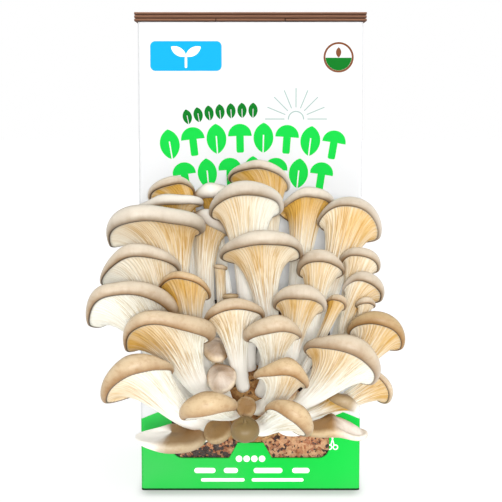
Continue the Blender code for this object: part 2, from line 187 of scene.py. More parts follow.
def close_mesh(bm: bmesh.types.BMesh, piece: Shape) -> None:
    """Write an edited mesh back to its piece."""
    bm.to_mesh(piece.data)
    bm.free()


def new_block(name: str, low: Vector, high: Vector) -> Shape:
    """A box, with its place and size in its mesh.

    Args:
        name: the piece's name.
        low: its lowest corner.
        high: its highest corner.

    Returns:
        The box.
    """
    deselect()
    bpy.ops.mesh.primitive_cube_add(size=1.0, location=(low + high) / 2)
    piece = bpy.context.object
    piece.name = name
    piece.scale = high - low
    bpy.ops.object.transform_apply(location=True, rotation=True, scale=True)
    return piece


def rounded_block(name: str, low: Vector, high: Vector, corner: float,
                  segments: int) -> Shape:
    """A box with round edges.

    Args:
        name: the piece's name.
        low: its lowest corner.
        high: its highest corner.
        corner: the radius of its edges.
        segments: how many faces go round an edge.

    Returns:
        The box.
    """
    piece = new_block(name, low, high)
    edge = piece.modifiers.new("round", "BEVEL")
    edge.width = corner
    edge.segments = segments
    apply_modifiers(piece)
    return piece


def roughen(points: np.ndarray, size: float, depth: float, seed: float) -> np.ndarray:
    """Soft random heights at some points.

    Args:
        points: places, one row each.
        size: the size of the humps, in metres.
        depth: their greatest height, in metres.
        seed: shifts the pattern.

    Returns:
        One height for each point.
    """
    shift = Vector((seed, seed * 1.7, seed * 0.6))
    return np.array([noise.noise(Vector(p) / size + shift) for p in points]) * depth


# Node graphs -----------------------------------------------------------------

class Graph:
    """The nodes of one new material, with short ways to add and join them."""

    def __init__(self, name: str) -> None:
        """Start a new material.

        Args:
            name: the material's name.
        """
        self.material = bpy.data.materials.new(name)
        self.material.use_nodes = True
        self.nodes = self.material.node_tree.nodes
        self.links = self.material.node_tree.links
        self.shader = self.nodes["Principled BSDF"]

    def feed(self, target: Socket, value: object) -> None:
        """Join a socket to an input, or set the input to a plain value.

        Args:
            target: the input.
            value: a socket, a number, a colour or a vector.
        """
        if isinstance(value, bpy.types.NodeSocket):
            self.links.new(value, target)
        elif isinstance(value, tuple) and len(target.default_value) == 4:
            target.default_value = (*value, 1.0)
        else:
            target.default_value = value

    def add(self, kind: str, *values: object, **settings: object) -> bpy.types.Node:
        """Add a node.

        Args:
            kind: its type, without the word Shader in front.
            values: what its inputs are fed, in their order.
            settings: its properties.

        Returns:
            The node.
        """
        node = self.nodes.new("Shader" + kind)
        for name, value in settings.items():
            setattr(node, name, value)
        for target, value in zip(node.inputs, values):
            self.feed(target, value)
        return node

    def surface(self, **inputs: object) -> bpy.types.Material:
        """Set the shader's inputs.

        Args:
            inputs: a value for each input, named with _ for a space.

        Returns:
            The material.
        """
        for name, value in inputs.items():
            self.feed(self.shader.inputs[name.replace("_", " ")], value)
        return self.material

    def math(self, operation: str, *values: object, clamp: bool = False) -> Socket:
        """A calculation with one to three numbers."""
        return self.add("NodeMath", *values, operation=operation, use_clamp=clamp).outputs[0]

    def plus(self, first: object, second: object) -> Socket:
        """The sum of two numbers."""
        return self.math("ADD", first, second)

    def minus(self, first: object, second: object) -> Socket:
        """The first number less the second."""
        return self.math("SUBTRACT", first, second)

    def times(self, first: object, second: object, clamp: bool = False) -> Socket:
        """The product of two numbers."""
        return self.math("MULTIPLY", first, second, clamp=clamp)

    def scaled(self, value: object, gain: object, start: object, clamp: bool = False) -> Socket:
        """A number times a gain, plus a start."""
        return self.math("MULTIPLY_ADD", value, gain, start, clamp=clamp)

    def union(self, *masks: Socket) -> Socket:
        """Everything that one of some masks covers.

        Args:
            masks: at least one mask.

        Returns:
            Their greatest value.
        """
        whole = masks[0]
        for mask in masks[1:]:
            whole = self.math("MAXIMUM", whole, mask)
        return whole

    def vector(self, operation: str, *values: object) -> Socket:
        """A calculation with vectors, whose result is a vector."""
        return self.add("NodeVectorMath", *values, operation=operation).outputs[0]

    def distance(self, first: object, second: object) -> Socket:
        """How far two places are from each other."""
        return self.add("NodeVectorMath", first, second, operation="DISTANCE").outputs["Value"]

    def mix(self, share: object, first: object, second: object) -> Socket:
        """The first colour where share is 0, and the second where it is 1.

        Args:
            share: how much of the second.
            first: a colour.
            second: a colour.

        Returns:
            The mixed colour.
        """
        node = self.add("NodeMix", share, data_type="RGBA")
        self.feed(node.inputs[6], first)
        self.feed(node.inputs[7], second)
        return node.outputs[2]

    def ramp(self, value: Socket, low: float, high: float, start: float = 0.0,
             end: float = 1.0) -> Socket:
        """A number that runs smoothly from start to end as value goes from low to high."""
        node = self.add("NodeMapRange", value, low, high, start, end,
                        interpolation_type="SMOOTHSTEP")
        return node.outputs[0]

    def where(self) -> Socket:
        """The place on the object, in metres."""
        return self.add("NodeTexCoord").outputs["Object"]

    def split(self, place: Socket) -> list[Socket]:
        """The x, y and z of a place."""
        return list(self.add("NodeSeparateXYZ", place).outputs)

    def stored(self, name: str) -> Socket:
        """A number that is stored on the mesh."""
        return self.add("NodeAttribute", attribute_name=name).outputs["Fac"]

    def grain(self) -> Socket:
        """The stored place along and around a mushroom, which its fibres follow."""
        return self.add("NodeAttribute", attribute_name="grain").outputs["Vector"]

    def stretched(self, place: Socket, scale: Triple, turn: Triple = (0, 0, 0)) -> Socket:
        """A place, scaled and turned.

        Args:
            place: the place.
            scale: the scale on each axis.
            turn: the turn about each axis, in radians.

        Returns:
            The new place.
        """
        node = self.add("NodeMapping", place)
        node.inputs["Scale"].default_value = scale
        node.inputs["Rotation"].default_value = turn
        return node.outputs[0]

    def clouds(self, place: Socket, scale: float, detail: float = 3.0,
               roughness: float = 0.5, distortion: float = 0.0) -> Socket:
        """Soft random values around a half.

        Args:
            place: where they are read.
            scale: how fine they are, per metre.
            detail: how many finer layers they have.
            roughness: how strong the finer layers are.
            distortion: how much they are twisted.

        Returns:
            The values.
        """
        node = self.add("NodeTexNoise", place)
        node.inputs["Scale"].default_value = scale
        node.inputs["Detail"].default_value = detail
        node.inputs["Roughness"].default_value = roughness
        node.inputs["Distortion"].default_value = distortion
        return node.outputs[0]

    def bump(self, height: Socket, depth: float, strength: float) -> Socket:
        """Small relief.

        Args:
            height: the relief, about 0 to 1.
            depth: how deep that is, in metres.
            strength: how much of it shows.

        Returns:
            The bent normal.
        """
        node = self.add("NodeBump")
        node.inputs["Distance"].default_value = depth
        node.inputs["Strength"].default_value = strength
        self.feed(node.inputs["Height"], height)
        return node.outputs[0]


# Finishes --------------------------------------------------------------------
#
# A Span is where something sets in and where it is full. A Noise is its
# scale per metre, its detail and its roughness. A Gain is a factor and what is
# added. A Relief is its depth in metres and its strength.

@dataclass(frozen=True)
class FleshFinish:
    """Cap skin, gills and stem of an oyster mushroom. It reads what each
    mushroom stores: skin, brink, reach, valley, warm, pale, shelter, tone, dusk
    and grain. The reach is 0 at the crown or the foot and 1 at the rim."""

    # Cap skin: its own colours, with painted shade darkening the crown's top edge and the margin,
    # and a painted highlight in the pale middle
    crown_grey: Colour = linear(132, 118, 98)
    crown_gold: Colour = linear(150, 110, 60)
    mid_grey: Colour = linear(208, 201, 188)
    mid_gold: Colour = linear(197, 168, 121)
    margin_grey: Colour = linear(134, 116, 92)
    margin_gold: Colour = linear(146, 102, 50)
    # Painted highlight: near white where a cap stands out into the light
    bare: Colour = linear(250, 247, 240)
    # Painted olive shade for caps that lie in shadow
    shade_olive: Colour = linear(118, 98, 60)
    # The rim line: the skin's dark brown with painted shade in the groove under the rim
    rim_brown_and_shade: Colour = linear(62, 42, 22)
    # Painted umber shade where a cap is shut in
    shade_umber: Colour = linear(132, 96, 52)
    gill: Colour = linear(244, 246, 238)
    # Painted shade in the grooves between the gills: golden where the gills are shaded, faint
    # elsewhere
    groove_shade: Colour = linear(208, 177, 108)
    faint_groove_shade: Colour = linear(196, 181, 146)
    line_shade: Colour = linear(180, 134, 54)
    # Painted shade: gold where the gills lie in shade under the rim or are shut in, amber where
    # they are most shut in
    gold: Colour = linear(200, 156, 70)
    deep_shade_amber: Colour = linear(172, 114, 46)
    stem: Colour = linear(251, 249, 243)

    patches: Noise = (110.0, 5.0, 0.60)
    patchiness: Gain = (0.16, 0.12)
    fibrils: Noise = (6.0, 4.0, 0.65)
    fibril_share: float = 0.08
    crown_ends: Span = (0.53, 0.73)
    margin_starts: Span = (0.70, 1.0)
    speck_stretch: Triple = (1, 1, 1.6)
    specks: Noise = (300.0, 4.0, 0.65)
    speck_starts: Span = (0.48, 0.68)
    speck_share: float = 0.42
    # Where the painted highlight sets in
    highlight_uneven: float = 1.5
    highlight_starts: Span = (0.25, 0.85)
    skin_shade_starts: Span = (0.22, 0.75)
    skin_shade: float = 0.75

    # Painted shade in golden lines between the gills
    thin_lines: Noise = (12.0, 2.0, 0.6)
    thin_starts: Span = (0.46, 0.60)
    thin_reach: Span = (0.25, 0.55)
    wide_lines: Noise = (5.5, 3.0, 0.6)
    wide_starts: Span = (0.48, 0.64)
    wide_share: float = 0.75
    groups: Noise = (2.2, 3.0, 0.55)
    line_group_starts: Span = (0.36, 0.62)
    line_group: Gain = (0.66, 0.14)
    line_in_valley: Gain = (0.55, 0.45)
    line_reach: Span = (0.24, 0.62)
    line_rim: Ramp = (1.0, 0.84, 0.25, 1.0)

    # Painted golden shade and glow on the gills under the rim, in patches
    glow_group_starts: Span = (0.32, 0.68)
    glow_group: Gain = (0.35, 0.65)
    glow_reach: Span = (0.50, 0.86)
    glow_rim: Ramp = (1.0, 0.965, 0.4, 1.0)
    # Painted golden shade where the gills are shut in
    closed_starts: Span = (0.50, 0.92)
    shut_in_shade: Gain = (0.26, 0.28)
    stem_ends: Span = (0.25, 0.70)
    # Painted shade in the valleys between the gills
    valley_reach: Span = (0.30, 0.75)
    valley_share: Ramp = (0.1, 0.7, 0.25, 0.50)
    warm_starts: Span = (0.1, 0.7)
    # Painted amber shade where the gills are most shut in
    shut_starts: Span = (0.70, 0.96)
    shut_share: float = 0.6

    fibre_stretch: Triple = (1, 1, 0.4)
    fibres: Noise = (22.0, 3.0, 0.6)
    pores: Noise = (900.0, 2.0, 0.6)
    pore_share: float = 0.35
    roughness: Span = (0.62, 0.42)
    relief: Relief = (0.00022, 0.45)
    shine: float = 0.4

    def skin_colour(self, graph: Graph, reach: Socket) -> Socket:
        """The cap from above: brownish at the crown, pale further out, brown towards
        its margin. This is partly the skin's own colour and partly painted light: shade
        on the crown's top edge and on the margin, and a highlight in the middle.

        Args:
            graph: the material's nodes.
            reach: how far out each point is.

        Returns:
            The colour.
        """
        tone = graph.stored("tone")
        patches = graph.clouds(graph.where(), *self.patches)
        fibrils = graph.clouds(graph.grain(), *self.fibrils)
        mottled = graph.scaled(tone, *self.patchiness)
        uneven = graph.times(graph.minus(patches, 0.5), mottled)
        uneven = graph.scaled(graph.minus(fibrils, 0.5), self.fibril_share, uneven)
        way = graph.plus(reach, uneven)
        crown = graph.mix(tone, self.crown_grey, self.crown_gold)
        middle = graph.mix(tone, self.mid_grey, self.mid_gold)
        margin = graph.mix(tone, self.margin_grey, self.margin_gold)
        # Dark crown, pale middle, brown margin: partly the skin's colour, partly painted shade and
        # highlight
        colour = graph.mix(graph.ramp(way, *self.crown_ends), crown, middle)
        colour = graph.mix(graph.ramp(way, *self.margin_starts), colour, margin)
        specks = graph.clouds(graph.stretched(graph.where(), self.speck_stretch), *self.specks)
        spots = graph.times(graph.ramp(specks, *self.speck_starts), tone)
        colour = graph.mix(graph.times(spots, self.speck_share), colour, self.margin_gold)
        # Painted olive shade over caps that lie in shadow
        colour = graph.mix(graph.stored("dusk"), colour, self.shade_olive)
        # Painted highlight: white where the look makes the cap pale
        highlighted = graph.scaled(uneven, self.highlight_uneven, graph.stored("pale"))
        colour = graph.mix(graph.ramp(highlighted, *self.highlight_starts), colour, self.bare)
        # Painted umber shade where the cap is shut in by what stands around it
        shade = graph.ramp(graph.stored("shelter"), *self.skin_shade_starts)
        return graph.mix(graph.times(shade, self.skin_shade), colour, self.shade_umber)

    def streaks(self, graph: Graph, reach: Socket) -> Socket:
        """Where painted shade runs in golden lines between the gills: irregular,
        broader towards the stem.

        Args:
            graph: the material's nodes.
            reach: how far out each point is.

        Returns:
            How much of a line each point has.
        """
        grain = graph.grain()
        thin = graph.ramp(graph.clouds(grain, *self.thin_lines), *self.thin_starts)
        thin = graph.times(thin, graph.ramp(reach, *self.thin_reach))
        wide = graph.ramp(graph.clouds(grain, *self.wide_lines), *self.wide_starts)
        lines = graph.union(thin, graph.times(wide, self.wide_share))
        groups = graph.ramp(graph.clouds(grain, *self.groups), *self.line_group_starts)
        for share in (
            graph.scaled(groups, *self.line_group),
            graph.scaled(graph.stored("valley"), *self.line_in_valley),
            graph.ramp(reach, *self.line_reach),
            graph.ramp(reach, *self.line_rim),
        ):
            lines = graph.times(lines, share)
        return lines

    def gill_colour(self, graph: Graph, reach: Socket) -> Socket:
        """The underside: white towards the stem, with painted golden shade and glow
        behind the rim, painted shade in the valleys between the gills, and painted
        golden and amber shade where it is shut in.

        Args:
            graph: the material's nodes.
            reach: how far out each point is.

        Returns:
            The colour.
        """
        groups = graph.ramp(graph.clouds(graph.grain(), *self.groups), *self.glow_group_starts)
        warm, shelter = graph.stored("warm"), graph.stored("shelter")
        # Painted golden shade and glow under the rim, most on the look's side
        glow = graph.times(graph.times(warm, graph.ramp(reach, *self.glow_reach)),
                           graph.scaled(groups, *self.glow_group))
        glow = graph.times(glow, graph.ramp(reach, *self.glow_rim))
        # Painted golden shade where the gills are shut in by what stands around them
        closed = graph.ramp(shelter, *self.closed_starts)
        glow = graph.scaled(closed, graph.scaled(warm, *self.shut_in_shade), glow, clamp=True)
        base = graph.mix(graph.ramp(reach, *self.stem_ends), self.stem, self.gill)
        # Painted shade in the valleys between the gills, deeper where the golden shade is
        valley = graph.times(graph.stored("valley"), graph.ramp(reach, *self.valley_reach))
        valley = graph.times(valley, graph.ramp(warm, *self.valley_share))
        golden_shade_share = graph.ramp(warm, *self.warm_starts)
        base = graph.mix(valley, base, graph.mix(golden_shade_share, self.faint_groove_shade, self.groove_shade))
        lit = graph.mix(glow, base, self.gold)
        # Painted amber shade where the gills are most shut in
        shut = graph.ramp(shelter, *self.shut_starts)
        lit = graph.mix(graph.times(shut, self.shut_share), lit, self.deep_shade_amber)
        # Painted shade in lines between the gills
        line = graph.mix(golden_shade_share, self.faint_groove_shade, self.line_shade)
        return graph.mix(self.streaks(graph, reach), lit, line)

    def build(self) -> bpy.types.Material:
        """Make the finish.

        Returns:
            The material.
        """
        graph = Graph("oyster_mushroom_flesh")
        skin, reach = graph.stored("skin"), graph.stored("reach")
        colour = graph.mix(skin, self.gill_colour(graph, reach), self.skin_colour(graph, reach))
        # The rim line: brown skin and painted shade in the groove under the rim
        colour = graph.mix(graph.stored("rim_brown_and_shade"), colour, self.rim_brown_and_shade)
        fibres = graph.clouds(graph.stretched(graph.grain(), self.fibre_stretch), *self.fibres)
        pores = graph.clouds(graph.where(), *self.pores)
        relief = graph.plus(fibres, graph.times(pores, self.pore_share))
        return graph.surface(
            Base_Color=colour,
            Roughness=graph.ramp(skin, 0.0, 1.0, *self.roughness),
            Normal=graph.bump(relief, *self.relief),
            Specular_IOR_Level=self.shine,
        )


@dataclass(frozen=True)
class RootFinish:
    """The knot of fused feet: stained threads with brown crumbs of substrate."""

    threads: Colour = linear(190, 148, 94)
    stain: Colour = linear(132, 86, 40)
    crumb: Colour = linear(60, 34, 14)
    stains: Noise = (160.0, 5.0, 0.65)
    stain_starts: Span = (0.36, 0.58)
    crumbs: Noise = (420.0, 3.0, 0.6)
    crumb_starts: Span = (0.54, 0.66)
    thread_stretch: Triple = (1, 1, 0.3)
    thread_lines: Noise = (900.0, 4.0, 0.6)
    relief: Relief = (0.0006, 0.6)
    roughness: float = 0.85

    def build(self) -> bpy.types.Material:
        """Make the finish.

        Returns:
            The material.
        """
        graph = Graph("fused_feet")
        here = graph.where()
        stained = graph.ramp(graph.clouds(here, *self.stains), *self.stain_starts)
        colour = graph.mix(stained, self.threads, self.stain)
        crumbs = graph.ramp(graph.clouds(here, *self.crumbs), *self.crumb_starts)
        colour = graph.mix(crumbs, colour, self.crumb)
        threads = graph.clouds(graph.stretched(here, self.thread_stretch), *self.thread_lines)
        return graph.surface(Base_Color=colour, Roughness=self.roughness,
                             Normal=graph.bump(threads, *self.relief))


@dataclass(frozen=True)
class SubstrateFinish:
    """Sawdust grown through with white threads, with painted shadow of the
    mushrooms that makes it browner higher up and on the left. Reads the stored
    value hue."""

    pale: Colour = linear(196, 150, 108)
    wood: Colour = linear(150, 80, 34)
    bark: Colour = linear(38, 14, 4)
    grains: float = 560.0
    blotches: Noise = (260.0, 4.0, 0.6)
    blotch: Gain = (1.6, -0.8)
    # Painted shadow of the mushrooms: darker and browner higher up and on the left
    shadow_heights: Span = (0.022, 0.040)
    shadow_share: float = 0.34
    left_shadow_places: Span = (0.012, -0.024)
    left_shadow_share: float = 0.48
    wood_starts: Span = (0.25, 0.85)
    bark_starts: Span = (0.74, 0.90)
    threads: Noise = (1500.0, 5.0, 0.7)
    thread_share: float = 0.5
    relief: Relief = (0.0008, 0.8)
    roughness: float = 0.8

    def build(self) -> bpy.types.Material:
        """Make the finish.

        Returns:
            The material.
        """
        graph = Graph("grown_sawdust")
        here = graph.where()
        x, _, z = graph.split(here)
        cells = graph.add("NodeTexVoronoi", here, feature="F1")
        cells.inputs["Scale"].default_value = self.grains
        pick = graph.add("NodeSeparateColor", cells.outputs["Color"]).outputs[0]
        blotch = graph.scaled(graph.clouds(here, *self.blotches), *self.blotch)
        share = graph.plus(graph.plus(pick, blotch), graph.stored("hue"))
        # Painted shadow under the mushrooms, and on the left
        share = graph.scaled(graph.ramp(z, *self.shadow_heights), self.shadow_share, share)
        share = graph.scaled(graph.ramp(x, *self.left_shadow_places), self.left_shadow_share, share)
        colour = graph.mix(graph.ramp(share, *self.wood_starts), self.pale, self.wood)
        colour = graph.mix(graph.ramp(share, *self.bark_starts), colour, self.bark)
        threads = graph.times(graph.clouds(here, *self.threads), self.thread_share)
        relief = graph.plus(cells.outputs["Distance"], threads)
        return graph.surface(Base_Color=colour, Roughness=self.roughness,
                             Normal=graph.bump(relief, *self.relief))


@dataclass(frozen=True)
class FilmFinish:
    """The clear, slightly milky film of the bag."""

    tint: Colour = linear(172, 130, 96)
    milk: Colour = (1.0, 1.0, 1.0)
    creases: Four = (240.0, 4.0, 0.55, 0.6)
    crease_starts: Span = (0.35, 0.75)
    alpha: Span = (0.014, 0.036)
    roughness: float = 0.16
    shine: float = 0.05
    relief: Relief = (0.0006, 0.5)

    def build(self) -> bpy.types.Material:
        """Make the finish.

        Returns:
            The material.
        """
        graph = Graph("bag_film")
        creases = graph.clouds(graph.where(), *self.creases)
        return graph.surface(
            Base_Color=graph.mix(creases, self.tint, self.milk),
            Roughness=self.roughness,
            Specular_IOR_Level=self.shine,
            Alpha=graph.ramp(creases, *self.crease_starts, *self.alpha),
            Normal=graph.bump(creases, *self.relief),
        )


@dataclass(frozen=True)
class RawEdgeFinish:
    """Cut edges of brown board, in plies, with white paper on the top face."""

    dark: Colour = linear(84, 52, 32)
    light: Colour = linear(136, 94, 68)
    paper: Colour = linear(206, 206, 204)
    top: float = 0.0
    ply: float = 1.0
    paper_depth: float = 0.00012
    wander_stretch: Triple = (0.25, 1, 1)
    wander: Noise = (420.0, 3.0, 0.6)
    wander_height: float = 0.0005
    line_ends: Span = (0.34, 0.0)
    fibre_stretch: Triple = (0.12, 1, 1)
    fibres: Noise = (2600.0, 4.0, 0.7)
    fibre: Gain = (0.9, -0.45)
    light_share: float = 0.85
    relief: Relief = (0.0003, 0.6)
    roughness: float = 0.82

    def build(self) -> bpy.types.Material:
        """Make the finish.

        Returns:
            The material.
        """
        graph = Graph("raw_board_edge")
        here = graph.where()
        z = graph.split(here)[2]
        wander = graph.clouds(graph.stretched(here, self.wander_stretch), *self.wander)
        height = graph.scaled(wander, self.wander_height, z)
        layer = graph.math("DIVIDE", graph.minus(height, self.top), self.ply)
        within = graph.math("PINGPONG", layer, 0.5)
        fibres = graph.clouds(graph.stretched(here, self.fibre_stretch), *self.fibres)
        share = graph.plus(graph.ramp(within, *self.line_ends), graph.scaled(fibres, *self.fibre))
        share = graph.times(share, self.light_share, clamp=True)
        covered = graph.math("GREATER_THAN", z, self.top - self.paper_depth)
        colour = graph.mix(covered, graph.mix(share, self.dark, self.light), self.paper)
        return graph.surface(Base_Color=colour, Roughness=self.roughness,
                             Normal=graph.bump(fibres, *self.relief))


# Print -----------------------------------------------------------------------

class Stencil:
    """Plain shapes to print, in millimetres. Each is 1 inside and 0 outside."""

    def __init__(self, graph: Graph, x: Socket, z: Socket) -> None:
        """Set where the shapes are drawn.

        Args:
            graph: the material's nodes.
            x: how far to the right each point is.
            z: how far up it is.
        """
        self.graph = graph
        self.x = x
        self.z = z
        self.place = graph.add("NodeCombineXYZ", x, 0.0, z).outputs[0]

    def turned(self, x: float, z: float, degrees: float) -> "Stencil":
        """A stencil with its middle at a spot, turned about it.

        Args:
            x: the spot, to the right.
            z: the spot, up.
            degrees: how far it is turned.

        Returns:
            The new stencil.
        """
        moved = self.graph.vector("SUBTRACT", self.place, (x, 0.0, z))
        turned = self.graph.stretched(moved, (1, 1, 1), (0, radians(degrees), 0))
        across, _, up = self.graph.split(turned)
        return Stencil(self.graph, across, up)

    def away(self, x: float, z: float) -> Socket:
        """How far it is to a spot."""
        return self.graph.distance(self.place, (x, 0.0, z))

    def disc(self, x: float, z: float, radius: float) -> Socket:
        """A filled circle."""
        return self.graph.math("LESS_THAN", self.away(x, z), radius)

    def ring(self, x: float, z: float, radius: float, half: float) -> Socket:
        """A circle's line, and half its thickness."""
        return self.graph.math("COMPARE", self.away(x, z), radius, half)

    def bar(self, x: float, z: float, half_width: float, half_height: float,
            corner: float) -> Socket:
        """A rectangle with round corners.

        Args:
            x: its middle, to the right.
            z: its middle, up.
            half_width: half its width.
            half_height: half its height.
            corner: the radius of its corners.

        Returns:
            The mask.
        """
        graph = self.graph
        aside = graph.vector("ABSOLUTE", graph.vector("SUBTRACT", self.place, (x, 0.0, z)))
        inner = (half_width - corner, 0.0, half_height - corner)
        beyond = graph.vector("MAXIMUM", graph.vector("SUBTRACT", aside, inner), (0.0, 0.0, 0.0))
        return graph.math("LESS_THAN", graph.distance(beyond, (0.0, 0.0, 0.0)), corner)

    def leaf(self, x: float, z: float, half_width: float, half_height: float) -> Socket:
        """A pointed leaf, where two circles cross.

        Args:
            x: its middle, to the right.
            z: its middle, up.
            half_width: half its width.
            half_height: half its height.

        Returns:
            The mask.
        """
        radius = (half_width ** 2 + half_height ** 2) / (2 * half_width)
        side = radius - half_width
        return self.graph.times(self.disc(x - side, z, radius), self.disc(x + side, z, radius))

    def cap(self, height: float) -> Socket:
        """A plain mushroom: half a disc over a short stem.

        Args:
            height: the mushroom's height.

        Returns:
            The mask.
        """
        rim = height * 0.06
        dome = self.graph.times(self.disc(0.0, rim, height * 0.40),
                                self.graph.math("GREATER_THAN", self.z, rim))
        foot = self.bar(0.0, -height * 0.20, height * 0.13, height * 0.29, height * 0.06)
        return self.graph.union(dome, foot)


class Motif(Enum):
    """What fills the cells of a printed row."""

    LEAVES = "leaves"
    CAPS_AND_LEAVES = "caps and leaves"


@dataclass(frozen=True)
class PrintedRow:
    """A row of printed shapes along an arc, in millimetres."""

    motif: Motif
    middle: float
    top: float
    radius: float
    height: float
    pitch: float
    count: int
    lean: float = 0.0

    def veined_leaf(self, stencil: Stencil) -> Socket:
        """A leaf with a bare line from its foot.

        Args:
            stencil: the stencil for a cell of the row.

        Returns:
            The mask.
        """
        leaf = stencil.leaf(0.0, 0.0, self.pitch * 0.42, self.height / 2)
        vein = stencil.bar(0.0, -self.height * 0.2, self.height * 0.022, self.height * 0.3,
                           self.height * 0.02)
        return stencil.graph.times(leaf, stencil.graph.minus(1.0, vein))

    def shape(self, front: Stencil) -> Socket:
        """Print the row.

        Args:
            front: the stencil for the front.

        Returns:
            The mask.
        """
        graph = front.graph
        dx = graph.minus(front.x, self.middle)
        dz = graph.minus(front.z, self.top - self.radius)
        angle = graph.minus(graph.math("ARCTAN2", dx, dz), -self.lean)
        far = graph.math("SQRT", graph.plus(graph.times(dx, dx), graph.times(dz, dz)))
        along = graph.times(angle, self.radius)
        shift = 0.5 if self.count % 2 else 0.0
        shifted = graph.plus(graph.math("DIVIDE", along, self.pitch), shift)
        number = graph.math("FLOOR", shifted)
        across = graph.times(graph.minus(graph.minus(shifted, number), 0.5), self.pitch)
        up = graph.minus(far, self.radius - self.height / 2)
        stencil = Stencil(graph, across, up)
        shape = self.veined_leaf(stencil)
        if self.motif is Motif.CAPS_AND_LEAVES:
            odd = graph.math("MODULO", graph.math("ABSOLUTE", number), 2.0)
            odd = graph.math("GREATER_THAN", odd, 0.5)
            leaves = graph.times(graph.minus(1.0, odd), shape)
            shape = graph.plus(graph.times(odd, stencil.cap(self.height)), leaves)
        inside = graph.math("COMPARE", along, 0.0, self.pitch * self.count / 2)
        return graph.times(shape, inside)


@dataclass(frozen=True)
class PrintedDashes:
    """Round bars in one line, in millimetres: how high it is, half their
    thickness, and where each begins and ends."""

    z: float
    half: float
    ends: tuple[float, ...]

    def shape(self, front: Stencil) -> Socket:
        """Print the line."""
        return front.graph.union(*(
            front.bar((left + right) / 2, self.z, (right - left) / 2, self.half, self.half)
            for left, right in zip(self.ends[::2], self.ends[1::2])
        ))


